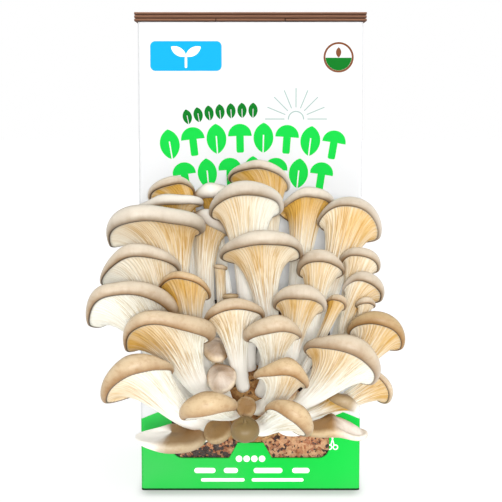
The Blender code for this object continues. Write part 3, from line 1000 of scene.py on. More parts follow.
@dataclass(frozen=True)
class PrintedBoard:
    """White board, printed on its front, with a painted shadow along its foot. Its
    sizes are millimetres, with the middle of a sign given as x and z."""

    paper: Colour = linear(204, 205, 206)
    white: Colour = linear(244, 246, 244)
    green: Colour = linear(62, 176, 84)
    bright: Colour = linear(12, 186, 62)
    leaf: Colour = linear(2, 104, 26)
    sky: Colour = linear(8, 152, 202)
    brown: Colour = linear(112, 66, 40)
    grey: Colour = linear(146, 166, 160)
    # Painted shadow: a dark green line along the carton's foot
    foot_shadow_green: Colour = linear(2, 48, 18)
    foot_shadow_height: float = 1.0
    hill_top: float = 49.4
    hill_radius: float = 124.0
    rows: tuple[PrintedRow, ...] = (
        PrintedRow(Motif.CAPS_AND_LEAVES, 0.6, 186.6, 258.0, 15.0, 12.0, 8),
        PrintedRow(Motif.CAPS_AND_LEAVES, 1.2, 170.0, 241.0, 15.0, 11.7, 7),
    )
    small_row: PrintedRow = PrintedRow(Motif.LEAVES, -0.5, 196.4, 150.0, 7.6, 5.6, 7, 0.10)
    sun: Pair = (22.5, 188.3)
    sun_radius: float = 3.75
    sun_line: float = 0.3
    sun_base: float = -0.25
    ray_step: float = pi / 8
    ray_line: float = 0.27
    ray_middle: float = 10.5
    ray_half_length: float = 4.8
    badge: Pair = (43.4, 218.6)
    badge_radius: float = 6.4
    badge_ground: float = -0.2
    badge_ring: Pair = (6.95, 0.5)
    badge_leaf: Triple = (2.4, 1.3, 2.5)
    panel: Pair = (-31.8, 219.2)
    panel_size: Triple = (17.6, 7.3, 2.6)
    sprout_leaf: Pair = (3.6, 2.2)
    sprout_leaf_size: Pair = (2.0, 4.4)
    sprout_turn: float = 58.0
    sprout_stem: Four = (-2.6, 0.55, 3.2, 0.5)
    dot_z: float = 16.4
    dot_radius: float = 1.65
    dots: tuple[float, ...] = (-5.85, -1.95, 1.95, 5.85)
    dashes: tuple[PrintedDashes, ...] = (
        PrintedDashes(10.3, 1.35, (-28.6, -17.8, -13.6, -6.4, 1.6, 16.2, 21.2, 30.0)),
        PrintedDashes(5.4, 0.85, (-25.2, -3.0, 0.6, 27.0)),
    )
    crossing: Pair = (41.6, 26.4)
    blade: Four = (1.3, 0.28, 4.4, 0.25)
    blade_turn: float = 16.0
    grip: Pair = (1.5, -4.0)
    grip_ring: Pair = (1.15, 0.28)
    front_depth: float = 0.12
    fading: Noise = (14.0, 2.0, 0.5)
    fade_starts: Span = (0.3, 0.7)
    fibres: Noise = (1800.0, 4.0, 0.6)
    waves: Noise = (60.0, 2.0, 0.5)
    wave_share: float = 4.0
    roughness: Ramp = (0.2, 0.8, 0.74, 0.86)
    relief: Relief = (0.00008, 0.5)
    shine: float = 0.15

    def half_sun(self, front: Stencil) -> Socket:
        """A rising sun with nine rays, in thin lines.

        Args:
            front: the stencil for the front.

        Returns:
            The mask.
        """
        graph = front.graph
        middle, base = self.sun
        dz = graph.minus(front.z, base)
        angle = graph.math("ARCTAN2", dz, graph.minus(front.x, middle))
        nearest = graph.math("SNAP", graph.plus(angle, self.ray_step / 2), self.ray_step)
        far = front.away(middle, base)
        off = graph.times(graph.minus(angle, nearest), far)
        rays = graph.times(graph.math("COMPARE", off, 0.0, self.ray_line),
                           graph.math("COMPARE", far, self.ray_middle, self.ray_half_length))
        both = graph.union(rays, front.ring(middle, base, self.sun_radius, self.sun_line))
        return graph.times(both, graph.math("GREATER_THAN", dz, self.sun_base))

    def sprout(self, front: Stencil) -> Socket:
        """Two leaves on a stem, in the middle of the panel.

        Args:
            front: the stencil for the front.

        Returns:
            The mask.
        """
        x, z = self.panel
        aside, up = self.sprout_leaf
        leaves = [
            front.turned(x + side * aside, z + up, -side * self.sprout_turn).leaf(
                0.0, 0.0, *self.sprout_leaf_size)
            for side in (-1, 1)
        ]
        low, *size = self.sprout_stem
        return front.graph.union(*leaves, front.bar(x, z + low, *size))

    def scissors(self, front: Stencil) -> Socket:
        """A small sign for where to cut.

        Args:
            front: the stencil for the front.

        Returns:
            The mask.
        """
        x, z = self.crossing
        aside, low = self.grip
        blades = [front.turned(x, z, turn).bar(0.0, *self.blade)
                  for turn in (-self.blade_turn, self.blade_turn)]
        grips = [front.ring(x + side, z + low, *self.grip_ring) for side in (-aside, aside)]
        return front.graph.union(*blades, *grips)

    def marks(self, front: Stencil) -> list[tuple[Socket, Colour]]:
        """Each shape and its ink, in the order of printing.

        Args:
            front: the stencil for the front.

        Returns:
            Pairs of a mask and a colour.
        """
        graph = front.graph
        badge_x, badge_z = self.badge
        ground = graph.math("LESS_THAN", front.z, badge_z + self.badge_ground)
        leaf_up, *leaf_size = self.badge_leaf
        dots = [front.disc(offset, self.dot_z, self.dot_radius) for offset in self.dots]
        dashes = [line.shape(front) for line in self.dashes]
        return [
            *((row.shape(front), self.bright) for row in self.rows),
            (self.small_row.shape(front), self.leaf),
            (self.half_sun(front), self.grey),
            (front.ring(badge_x, badge_z, *self.badge_ring), self.brown),
            (graph.times(front.disc(badge_x, badge_z, self.badge_radius), ground), self.leaf),
            (front.leaf(badge_x, badge_z + leaf_up, *leaf_size), self.brown),
            (front.bar(*self.panel, *self.panel_size), self.sky),
            (self.sprout(front), self.white),
            (graph.union(*dots, *dashes), self.white),
            (self.scissors(front), self.white),
        ]

    def build(self) -> bpy.types.Material:
        """Make the finish.

        Returns:
            The material.
        """
        graph = Graph("printed_board")
        scale = 1 / MM
        here = graph.vector("MULTIPLY", graph.where(), (scale, scale, scale))
        x, y, z = graph.split(here)
        front = Stencil(graph, x, z)
        hill = graph.scaled(graph.times(x, x), -0.5 / self.hill_radius, self.hill_top)
        fade = graph.ramp(graph.clouds(graph.where(), *self.fading), *self.fade_starts)
        shade = graph.mix(fade, self.green, self.bright)
        colour = graph.mix(graph.math("LESS_THAN", z, hill), self.paper, shade)
        # Painted shadow along the carton's foot
        colour = graph.mix(graph.math("LESS_THAN", z, self.foot_shadow_height), colour, self.foot_shadow_green)
        shown = graph.math("LESS_THAN", y, FRONT / MM + self.front_depth)
        for mask, tint in self.marks(front):
            colour = graph.mix(graph.times(mask, shown), colour, tint)
        fibres = graph.clouds(graph.where(), *self.fibres)
        relief = graph.scaled(graph.clouds(graph.where(), *self.waves), self.wave_share, fibres)
        return graph.surface(
            Base_Color=colour,
            Roughness=graph.ramp(fibres, *self.roughness),
            Normal=graph.bump(relief, *self.relief),
            Specular_IOR_Level=self.shine,
        )


# Mushrooms -------------------------------------------------------------------

class GillRank(Enum):
    """How far a gill runs: the reach where it begins to fade, and where it ends."""

    LONG = (0.26, 0.10)
    MIDDLE = (0.62, 0.46)
    SHORT = (0.84, 0.70)


@dataclass(frozen=True)
class RootMass:
    """The knot that all the stems grow from, in metres."""

    centre: tuple[float, float, float] = (0.0, -0.051, 0.047)
    radii: tuple[float, float, float] = (0.023, 0.029, 0.020)
    back: float = -0.0423
    lumps: tuple[Triple, ...] = ((0.0065, 0.0016, 3.0), (0.0018, 0.0007, 8.0))
    sinking: float = 0.0012

    def point(self, azimuth: float, elevation: float) -> tuple[Vector, Vector]:
        """A point on the knot, and the way its surface faces there.

        Args:
            azimuth: degrees to the right of the front.
            elevation: degrees up.

        Returns:
            The point and the unit normal.
        """
        across, up = radians(azimuth), radians(elevation)
        way = Vector((sin(across) * cos(up), -cos(across) * cos(up), sin(up)))
        radii = Vector(self.radii)
        normal = Vector((way.x / radii.x, way.y / radii.y, way.z / radii.z))
        return Vector(self.centre) + way * radii, normal.normalized()

    def build(self, finish: bpy.types.Material) -> Shape:
        """A lumpy ball, flat where it grows on the substrate.

        Args:
            finish: the finish of the feet.

        Returns:
            The finished piece.
        """
        deselect()
        bpy.ops.mesh.primitive_uv_sphere_add(
            segments=128, ring_count=80, radius=1.0, location=self.centre
        )
        piece = bpy.context.object
        piece.name = "fused_feet"
        piece.scale = self.radii
        bpy.ops.object.transform_apply(location=True, rotation=True, scale=True)
        points = points_of(piece.data)
        away = points - np.array(self.centre)
        away /= np.linalg.norm(away, axis=1)[:, None]
        lumps = sum(roughen(points, *lump) for lump in self.lumps)
        points += away * (lumps - self.sinking)[:, None]
        points[:, 1] = np.minimum(points[:, 1], self.back)
        set_points(piece.data, points)
        dress(piece, finish)
        return place(piece, "mushroom_root", "root_mass")


ROOTS = RootMass()


def quarters(angle: np.ndarray, four: Four) -> tuple[np.ndarray, np.ndarray]:
    """Pick, of four values, the two that hold at each angle.

    Args:
        angle: radians to the right of the front.
        four: the values at the front, right, back and left.

    Returns:
        The value ahead or behind, and the one to the right or left.
    """
    front, right, back, left = four
    ahead = np.where(np.cos(angle) > 0, front, back)
    aside = np.where(np.sin(angle) > 0, right, left)
    return ahead, aside


def around(angle: np.ndarray, four: Four) -> np.ndarray:
    """A value that runs smoothly through front, right, back and left."""
    ahead, aside = quarters(angle, four)
    return ahead * np.cos(angle) ** 2 + aside * np.sin(angle) ** 2


def reach_around(angle: np.ndarray, four: Four) -> np.ndarray:
    """How far the rim reaches at each angle: quarters of ellipses."""
    ahead, aside = quarters(angle, four)
    return 1 / np.hypot(np.cos(angle) / ahead, np.sin(angle) / aside)


def smooth_step(value: np.ndarray, low: float, high: float) -> np.ndarray:
    """0 at low, 1 at high, smooth between them."""
    share = np.clip((value - low) / (high - low), 0, 1)
    return share * share * (3 - 2 * share)


def spline(keys: np.ndarray, shares: np.ndarray) -> np.ndarray:
    """Rows of numbers read along a smooth curve through some keys.

    Args:
        keys: the rows that the curve goes through, evenly spaced.
        shares: where to read it, 0 at the first key and 1 at the last.

    Returns:
        One row for each share.
    """
    padded = np.vstack([2 * keys[0] - keys[1], keys, 2 * keys[-1] - keys[-2]])
    at = np.clip(shares, 0, 1) * (len(keys) - 1)
    first = np.minimum(at.astype(int), len(keys) - 2)
    t = (at - first)[:, None]
    a, b, c, d = (padded[first + step] for step in range(4))
    return 0.5 * (2 * b + (c - a) * t + (2 * a - 5 * b + 4 * c - d) * t ** 2
                  + (3 * b - a - 3 * c + d) * t ** 3)


# The cap's profile from the crown to the rim: shares of the reach, of the
# margin's thickness outwards, of its thickness upwards, and of the crown's
# sinking
CAP_PROFILE = np.array((
    (0.00, 0.00, 1.00, 1.00), (0.28, -0.084, 1.00, 0.67), (0.55, -0.165, 1.00, 0.35),
    (0.79, -0.237, 1.00, 0.12), (1.00, -0.30, 1.00, 0.00), (1.00, 0.06, 0.94, 0.00),
    (1.00, 0.30, 0.76, 0.00), (1.00, 0.40, 0.46, 0.00), (1.00, 0.34, 0.17, 0.00),
    (1.00, 0.17, 0.01, 0.00), (1.00, 0.00, 0.00, 0.00),
))
RIM_KEY = 4
RIM_AT = RIM_KEY / (len(CAP_PROFILE) - 1)
# The reach that a cap's finish reads where the flat crown ends
CROWN_REACH = 0.55
# How far out the margin has its own thickness, and not the mean one
LIP_BLEND = 0.55
# Where the rings lie: on the cap from the crown to the rim, then on the
# underside from the rim to the foot
CAP_SHARES = np.concatenate([np.linspace(0.03, 0.38, 9), np.linspace(0.42, 0.97, 17), [1.0]])
UNDER_SHARES = np.concatenate([
    1 - np.array((0.006, 0.016, 0.03, 0.05, 0.075, 0.105)), np.linspace(0.86, 0.0, 27),
])
# How many waves go round a rim, and their share of its waviness
RIM_WAVES = ((2, 0.45), (3, 0.45), (5, 0.25), (8, 0.06))
RIM_SWAY = 0.018
RIM_RIPPLE = 0.035
# How many times the gills gather round a cap, and how far in gill widths
GATHERINGS = ((3, 0.55), (7, 0.4), (13, 0.25))
GILL_PITCH = 1.35
FEWEST_GILLS, MOST_GILLS = 28, 84
COLUMNS_PER_GILL = 4
GILL_RANKS = (GillRank.LONG, GillRank.SHORT, GillRank.MIDDLE, GillRank.SHORT)
GILL_UNEVEN = 0.06
GILL_PROFILE = ((-1, 0.45), (0, 1.0), (1, 0.45))
GILL_DEPTH = 0.42
GILL_FADE, GILL_RIM = (0.10, 0.75), (0.965, 0.996)
FULL_DEPTH_REACH = 12
# The stem narrows by a share towards its foot, which is sunk into the knot
FOOT_TAPER, FOOT_END = 0.18, 0.30
FOOT_SINK = 0.0025
# How dark the rings on both sides of the rim are, brown skin with painted shade in the groove
# under the rim, and how much less of it lies under the painted highlight
RIM_BROWN_AND_SHADE = (0.25, 0.85, 1.0, 0.25)
RIM_UNDER_HIGHLIGHT = 0.8
VALLEY_FADE = (0.12, 0.5)
GRAIN_LENGTH = 0.5
TINY = 1e-12


@dataclass(frozen=True)
class Look:
    """A mushroom's colours, with its painted light and shade. `tone` goes from a grey
    cap to a golden one, and `dusk` paints olive shade over it. `warm`
    is how much painted golden shade and glow the gills get, most on one `side`, in
    degrees to the right of the front, and `even` is how much of that reaches the
    other side. `pale` is how much painted white highlight the cap gets on its
    `highlight_side`, and `highlight_even` how much of that the rest has."""

    tone: float = 0.3
    warm: float = 0.5
    side: float = 0.0
    even: float = 0.5
    dusk: float = 0.0
    pale: float = 0.0
    highlight_side: float = 90.0
    highlight_even: float = 0.0


@dataclass(frozen=True)
class Form:
    """A mushroom's surface: the angle of each column, how far out each ring of
    the cap lies, how high the gills stand, and the rings without and with
    gills."""

    angle: np.ndarray
    level: np.ndarray
    heights: np.ndarray
    plain: np.ndarray
    rings: np.ndarray


class Shelter:
    """Tells how shut in each point of the cluster is by what stands around it."""

    distance = 0.032
    start = 0.0007
    ray_count = 30
    rows = 3
    columns = 24
    normal_parts = 60

    def __init__(self, forms: list[Form]) -> None:
        """Gather the surfaces that shelter each other.

        Args:
            forms: all the mushrooms' surfaces.
        """
        points, faces = [], []
        for form in forms:
            grid = self.thinned(form.plain)
            rows, columns = grid.shape[:2]
            first = len(points)
            points += [Vector(p) for p in grid.reshape(-1, 3)]
            faces += [
                (first + r * columns + c, first + r * columns + (c + 1) % columns,
                 first + (r + 1) * columns + (c + 1) % columns, first + (r + 1) * columns + c)
                for r in range(rows - 1) for c in range(columns)
            ]
        self.tree = BVHTree.FromPolygons(points, faces)
        turn = np.arange(self.ray_count) * pi * (3 - 5 ** 0.5)
        far = np.sqrt((np.arange(self.ray_count) + 0.5) / self.ray_count)
        self.rays = np.stack([far * np.cos(turn), far * np.sin(turn), np.sqrt(1 - far ** 2)], 1)

    def thinned(self, grid: np.ndarray) -> np.ndarray:
        """Some of the rows and columns of a grid of rings, the first and last rows too."""
        return grid[self.row_numbers(grid)][:, self.column_numbers(grid)]

    def row_numbers(self, grid: np.ndarray) -> np.ndarray:
        """The rows that are looked at."""
        return np.unique(np.append(np.arange(0, len(grid), self.rows), len(grid) - 1))

    def column_numbers(self, grid: np.ndarray) -> np.ndarray:
        """The columns that are looked at."""
        return (np.arange(self.columns) * grid.shape[1] / self.columns).astype(int)

    def measure(self, form: Form) -> np.ndarray:
        """How shut in each point of a mushroom's rings is.

        Args:
            form: its surface.

        Returns:
            A share of 0 to 1 for each point.
        """
        grid = form.plain
        step = max(2, grid.shape[1] // self.normal_parts)
        across = np.roll(grid, -step, axis=1) - np.roll(grid, step, axis=1)
        outward = np.cross(np.gradient(grid, axis=0), across)
        outward /= np.maximum(np.linalg.norm(outward, axis=2), TINY)[:, :, None]
        spots, ways = self.thinned(grid), self.thinned(outward)
        closed = np.array([
            [self.closed_share(spot, way) for spot, way in zip(*line)]
            for line in zip(spots, ways)
        ])
        columns = self.column_numbers(grid)
        at = np.append(columns, grid.shape[1])
        wide = np.array([
            np.interp(np.arange(grid.shape[1]), at, np.append(line, line[0])) for line in closed
        ])
        rows = self.row_numbers(grid)
        return np.array([
            np.interp(np.arange(len(grid)), rows, column) for column in wide.T
        ]).T

    def closed_share(self, spot: np.ndarray, way: np.ndarray) -> float:
        """How much of what a point faces is near by.

        Args:
            spot: the point.
            way: the unit normal there.

        Returns:
            A share of 0 to 1.
        """
        side = np.cross(way, (0.0, 0.0, 1.0) if abs(way[2]) < 0.9 else (1.0, 0.0, 0.0))
        side /= np.linalg.norm(side)
        frame_axes = np.stack([side, np.cross(way, side), way])
        start = Vector(spot + way * self.start)
        total = 0.0
        for ray in self.rays @ frame_axes:
            far = self.tree.ray_cast(start, Vector(ray), self.distance)[3]
            if far is not None:
                total += 1 - far / self.distance
        return total / self.ray_count


@dataclass(frozen=True)
class Mushroom:
    """One mushroom, in millimetres. `cap` is the middle of the cap's rim: x, z
    and out. `tilt` lifts the front of the cap, `roll` lowers its right side.
    `reach`, `lip` and `drop` go front, right, back, left: how far the rim
    reaches, how thick the rolled margin is, and how far the rim hangs below
    its plane. `seat` is where the stem meets the cap, to the right and to the
    front of the middle. `root` is the stem's foot on the root mass: degrees to
    the right of front, and up. `flare` is how late the stem widens, `bow` how
    far it leaves its ends straight, and `follow` how far it ignores the cap's
    tilt. `crown` is the height of the cap's middle, as a share of the margin's
    thickness. `look` is its colours, with their painted shade and highlight."""

    name: str
    cap: tuple[float, float, float]
    tilt: float
    roll: float
    reach: Four
    lip: Four
    root: tuple[float, float]
    stem: float
    seat: tuple[float, float] = (0, 0)
    drop: Four = (0, 0, 0, 0)
    flare: float = 1.4
    bow: tuple[float, float] = (0.35, 0.35)
    follow: float = 0.6
    crown: float = 0.6
    look: Look = Look()

    def axes(self) -> tuple[Vector, Vector, Vector]:
        """The cap's own right, front and up."""
        turn = (Matrix.Rotation(radians(self.roll), 3, "Y")
                @ Matrix.Rotation(radians(-self.tilt), 3, "X"))
        return turn @ Vector((1, 0, 0)), turn @ Vector((0, -1, 0)), turn @ Vector((0, 0, 1))

    def middle(self) -> Vector:
        """The middle of the cap's rim."""
        x, z, out = self.cap
        return Vector((x * MM, FRONT - out * MM, z * MM))

    def seat_way(self) -> Vector:
        """The way from the cap's middle to where the stem meets the cap."""
        right, front, _ = self.axes()
        return (right * self.seat[0] + front * self.seat[1]) * MM

    def stem_line(self) -> tuple[Vector, ...]:
        """The stem's curve.

        Returns:
            Its four points, from its foot to the cap.
        """
        top = self.middle() + self.seat_way()
        foot, grows = ROOTS.point(*self.root)
        along = (top - foot).normalized()
        arrive = self.axes()[2].lerp(along, self.follow).normalized()
        length = (top - foot).length
        first, last = self.bow
        return foot, foot + grows * length * first, top - arrive * length * last, top

    def gills(self) -> int:
        """Count the gills.

        Returns:
            How many there are, a multiple of the ranks' number.
        """
        front, right, back, left = self.reach
        round_rim = 2 * pi * hypot((front + back) / 2, (right + left) / 2) / hypot(1, 1)
        ranks = len(GILL_RANKS)
        count = round(round_rim / GILL_PITCH / ranks) * ranks
        return int(min(MOST_GILLS, max(FEWEST_GILLS, count)))

    def angles(self, rng: np.random.Generator) -> np.ndarray:
        """Spread the columns of points, gathered a little here and there.

        Args:
            rng: the mushroom's random numbers.

        Returns:
            The angle of each column.
        """
        columns = self.gills() * COLUMNS_PER_GILL
        even = np.arange(columns) * 2 * pi / columns
        turns = rng.uniform(0, 2 * pi, len(GATHERINGS))
        sway = sum(size * np.sin(count * even + turn)
                   for (count, size), turn in zip(GATHERINGS, turns))
        return even + 2 * pi / self.gills() * sway

    def waves(self, angle: np.ndarray, rng: np.random.Generator) -> np.ndarray:
        """Slow random waves around the rim.

        Args:
            angle: the angle of each column.
            rng: the mushroom's random numbers.

        Returns:
            A height of about -1 to 1 for each column.
        """
        total = np.zeros_like(angle)
        for count, size in RIM_WAVES:
            total += size * np.sin(count * angle + rng.uniform(0, 2 * pi))
        return total

    def cap_rings(self, angle: np.ndarray, wave: np.ndarray) -> tuple[np.ndarray, np.ndarray]:
        """Work out the cap from above.

        Args:
            angle: the angle of each column.
            wave: the rim's waves.

        Returns:
            The rings from the crown to the rim, and how far out each one lies.
        """
        right, front, up = (np.array(axis) for axis in self.axes())
        lip = around(angle, self.lip)
        reach = reach_around(angle, self.reach) * (1 + RIM_SWAY * wave)
        drop = around(angle, self.drop)
        mean_lip = sum(self.lip) / 4
        way = np.outer(np.sin(angle), right) + np.outer(np.cos(angle), front)
        rings = []
        for inward, out, rise, sunk in spline(CAP_PROFILE, CAP_SHARES):
            share = min(1.0, inward / LIP_BLEND)
            thick = mean_lip + (lip - mean_lip) * share
            rise += (self.crown - 1) * sunk
            wide = reach * inward + out * thick
            lift = rise * thick - drop * inward ** 2 + self.ripple() * wave * inward ** 3
            rings.append((way * wide[:, None] + lift[:, None] * up) * MM)
        level = np.clip(CAP_SHARES / RIM_AT * CROWN_REACH, 0, CROWN_REACH)
        level += np.clip((CAP_SHARES - RIM_AT) / (1 - RIM_AT), 0, 1) * (1 - CROWN_REACH)
        return np.array(rings) + np.array(self.middle()), level

    def ripple(self) -> float:
        """How high the rim's waves are."""
        return RIM_RIPPLE * max(self.reach)

    def under_rings(self, angle: np.ndarray, wave: np.ndarray) -> np.ndarray:
        """Work out the underside and the stem.

        Args:
            angle: the angle of each column.
            wave: the rim's waves.

        Returns:
            The rings from the rim down to the foot.
        """
        right, front, up = self.axes()
        points = self.stem_line()
        side = right
        rings = []
        reach = reach_around(angle, self.reach) * (1 + RIM_SWAY * wave)
        drop = around(angle, self.drop)
        cap_way = np.outer(np.sin(angle), right) + np.outer(np.cos(angle), front)
        for share in UNDER_SHARES:
            along = sin(share * pi / 2)
            spread = (1 - cos(share * pi / 2)) ** self.flare
            centre, way = self.curve_point(points, along)
            side = (side - way * way.dot(side)).normalized()
            ahead = side.cross(way)
            centre = centre - self.seat_way() * spread
            stem_way = np.outer(np.sin(angle), side) + np.outer(np.cos(angle), ahead)
            swell = 1 - FOOT_TAPER * (1 - smooth_step(np.array(share), 0.0, FOOT_END))
            lift = self.ripple() * wave * spread ** 2 - drop * spread ** 2
            rings.append(
                np.array(centre) + stem_way * self.stem * swell * (1 - spread) * MM
                + cap_way * (reach * spread)[:, None] * MM + np.outer(lift * MM, up)
            )
        return np.array(rings)

    @staticmethod
    def curve_point(points: tuple[Vector, ...], t: float) -> tuple[Vector, Vector]:
        """Read a cubic curve.

        Args:
            points: its four points.
            t: how far along, 0 to 1.

        Returns:
            The point there, and the unit direction.
        """
        a, b, c, d = points
        s = 1 - t
        point = a * s ** 3 + b * 3 * s * s * t + c * 3 * s * t * t + d * t ** 3
        way = (b - a) * s * s + (c - b) * 2 * s * t + (d - c) * t * t
        return point, way.normalized()

    def gill_heights(self, rng: np.random.Generator) -> np.ndarray:
        """How high the gills stand.

        Args:
            rng: the mushroom's random numbers.

        Returns:
            1 on a gill's edge and 0 between them, for each point.
        """
        count = self.gills()
        columns = count * COLUMNS_PER_GILL
        heights = np.zeros((len(UNDER_SHARES), columns))
        for number in range(count):
            begins, ends = GILL_RANKS[number % len(GILL_RANKS)].value
            shift = rng.uniform(-GILL_UNEVEN, GILL_UNEVEN)
            there = smooth_step(UNDER_SHARES, ends + shift, begins + shift)
            column = number * COLUMNS_PER_GILL
            for step, high in GILL_PROFILE:
                at = (column + step) % columns
                heights[:, at] = np.maximum(heights[:, at], there * high)
        return heights

    def cut_gills(self, rings: np.ndarray, heights: np.ndarray) -> np.ndarray:
        """Sink the surface between the gills.

        Args:
            rings: the rings of the underside.
            heights: how high the gills stand at each point.

        Returns:
            The rings with their gills.
        """
        around_way = np.roll(rings, -2, axis=1) - np.roll(rings, 2, axis=1)
        down_way = np.gradient(rings, axis=0)
        outward = np.cross(down_way, around_way)
        outward /= np.maximum(np.linalg.norm(outward, axis=2), TINY)[:, :, None]
        depth = GILL_DEPTH * smooth_step(UNDER_SHARES, *GILL_FADE)
        depth *= 1 - smooth_step(UNDER_SHARES, *GILL_RIM)
        depth *= min(1.0, max(self.reach) / FULL_DEPTH_REACH)
        return rings - outward * ((1 - heights) * depth[:, None])[:, :, None] * MM

    def form(self, seed: int) -> Form:
        """Work out the mushroom's surface.

        Args:
            seed: the start of its random numbers.

        Returns:
            Its rings, without and with gills, and what its finish needs.
        """
        rng = np.random.default_rng(seed)
        angle = self.angles(rng)
        wave = self.waves(angle, rng)
        cap, level = self.cap_rings(angle, wave)
        under = self.under_rings(angle, wave)
        heights = self.gill_heights(rng)
        cut = self.cut_gills(under, heights)
        return Form(angle, level, heights, np.concatenate([cap, under]),
                    np.concatenate([cap, cut]))

    def build(self, form: Form, shelter: np.ndarray, finish: bpy.types.Material) -> Shape:
        """Model the mushroom as a ball whose rings are moved into place.

        Args:
            form: its surface.
            shelter: how shut in each point of the rings is, 0 to 1.
            finish: the flesh.

        Returns:
            The finished piece.
        """
        rings = form.rings
        crown = np.array(self.middle() + self.axes()[2] * (sum(self.lip) / 4 * self.crown * MM))
        foot, grows = ROOTS.point(*self.root)
        foot = np.array(foot - grows * FOOT_SINK)
        piece, row, column = self.ball(len(rings), len(form.angle))
        last = len(rings) + 1
        inner = (row > 0) & (row < last)
        points = np.empty((len(row), 3))
        points[inner] = rings[row[inner] - 1, column[inner]]
        points[row == 0] = crown
        points[row == last] = foot
        set_points(piece.data, points)
        self.store(piece.data, row, column, form, shelter)
        dress(piece, finish)
        return place(piece, "mushroom_flesh", self.name)

    def ball(self, rings: int, columns: int) -> tuple[Shape, np.ndarray, np.ndarray]:
        """A sheet closed to a ball.

        Args:
            rings: how many rings of points lie between its poles.
            columns: how many points a ring has.

        Returns:
            The ball, and the row and the column of each of its points.
        """
        deselect()
        bpy.ops.mesh.primitive_grid_add(
            x_subdivisions=columns, y_subdivisions=rings + 1, size=1.0, location=(0, 0, 0)
        )
        piece = bpy.context.object
        piece.name = "oyster_" + self.name
        bm = open_mesh(piece)
        grid = {}
        for vert in bm.verts:
            grid[round((0.5 - vert.co.x) * columns), round((0.5 - vert.co.y) * (rings + 1))] = vert
        weld = {grid[columns, row]: grid[0, row] for row in range(1, rings + 1)}
        for row in (0, rings + 1):
            weld.update({grid[column, row]: grid[0, row] for column in range(1, columns + 1)})
        bmesh.ops.weld_verts(bm, targetmap=weld)
        bmesh.ops.reverse_faces(bm, faces=bm.faces[:])
        close_mesh(bm, piece)
        points = points_of(piece.data)
        row = np.rint((0.5 - points[:, 1]) * (rings + 1)).astype(int)
        column = np.rint((0.5 - points[:, 0]) * columns).astype(int) % columns
        return piece, row, column

    def store(self, mesh: bpy.types.Mesh, row: np.ndarray, column: np.ndarray,
              form: Form, shelter: np.ndarray) -> None:
        """Store what the finish reads on each point.

        Args:
            mesh: the mushroom's mesh.
            row: the row of each point.
            column: the column of each point.
            form: the mushroom's surface.
            shelter: how shut in each point of the rings is, 0 to 1.
        """
        caps = len(form.level)
        look = self.look
        reach = np.concatenate([[0.0], form.level, UNDER_SHARES, [0.0]])
        is_cap = np.concatenate([np.ones(caps + 1), np.zeros(len(UNDER_SHARES) + 1)])
        rim_brown_and_shade = np.zeros(len(reach))
        rim_brown_and_shade[caps - 1:caps - 1 + len(RIM_BROWN_AND_SHADE)] = RIM_BROWN_AND_SHADE
        valley = np.zeros((len(reach), len(form.angle)))
        fade = smooth_step(UNDER_SHARES, *VALLEY_FADE)[:, None]
        valley[caps + 1:-1] = (1 - form.heights) * fade
        closed = np.vstack([shelter[:1], shelter, shelter[-1:]])
        depth = np.concatenate([-reach[:caps + 1], 2 - reach[caps + 1:]])
        theta = form.angle[column]
        # How much painted golden shade and glow each side of the gills gets
        lobe = 0.5 + 0.5 * np.cos(theta - radians(look.side))
        # Where the painted highlight lies: most on the look's highlight side, a share all round
        pale = (0.5 + 0.5 * np.cos(theta - radians(look.highlight_side))) ** 2
        pale = look.pale * (look.highlight_even + (1 - look.highlight_even) * pale)
        grain = np.stack([np.cos(theta), np.sin(theta), depth[row] * GRAIN_LENGTH], axis=1)
        for name, values in {
            "skin": is_cap[row],
            "reach": reach[row],
            "valley": valley[row, column],
            "shelter": closed[row, column],
            "warm": look.warm * (look.even + (1 - look.even) * lobe),
            "pale": pale,
            "rim_brown_and_shade": rim_brown_and_shade[row] * (1 - RIM_UNDER_HIGHLIGHT * pale),
            "tone": np.full(len(row), look.tone),
            "dusk": np.full(len(row), look.dusk),
            "grain": grain + name_shift(self.name),
        }.items():
            set_values(mesh, name, values)


def name_shift(name: str) -> float:
    """A number that differs from name to name."""
    return float(sum(ord(letter) * (place + 1) for place, letter in enumerate(name)) % 97)


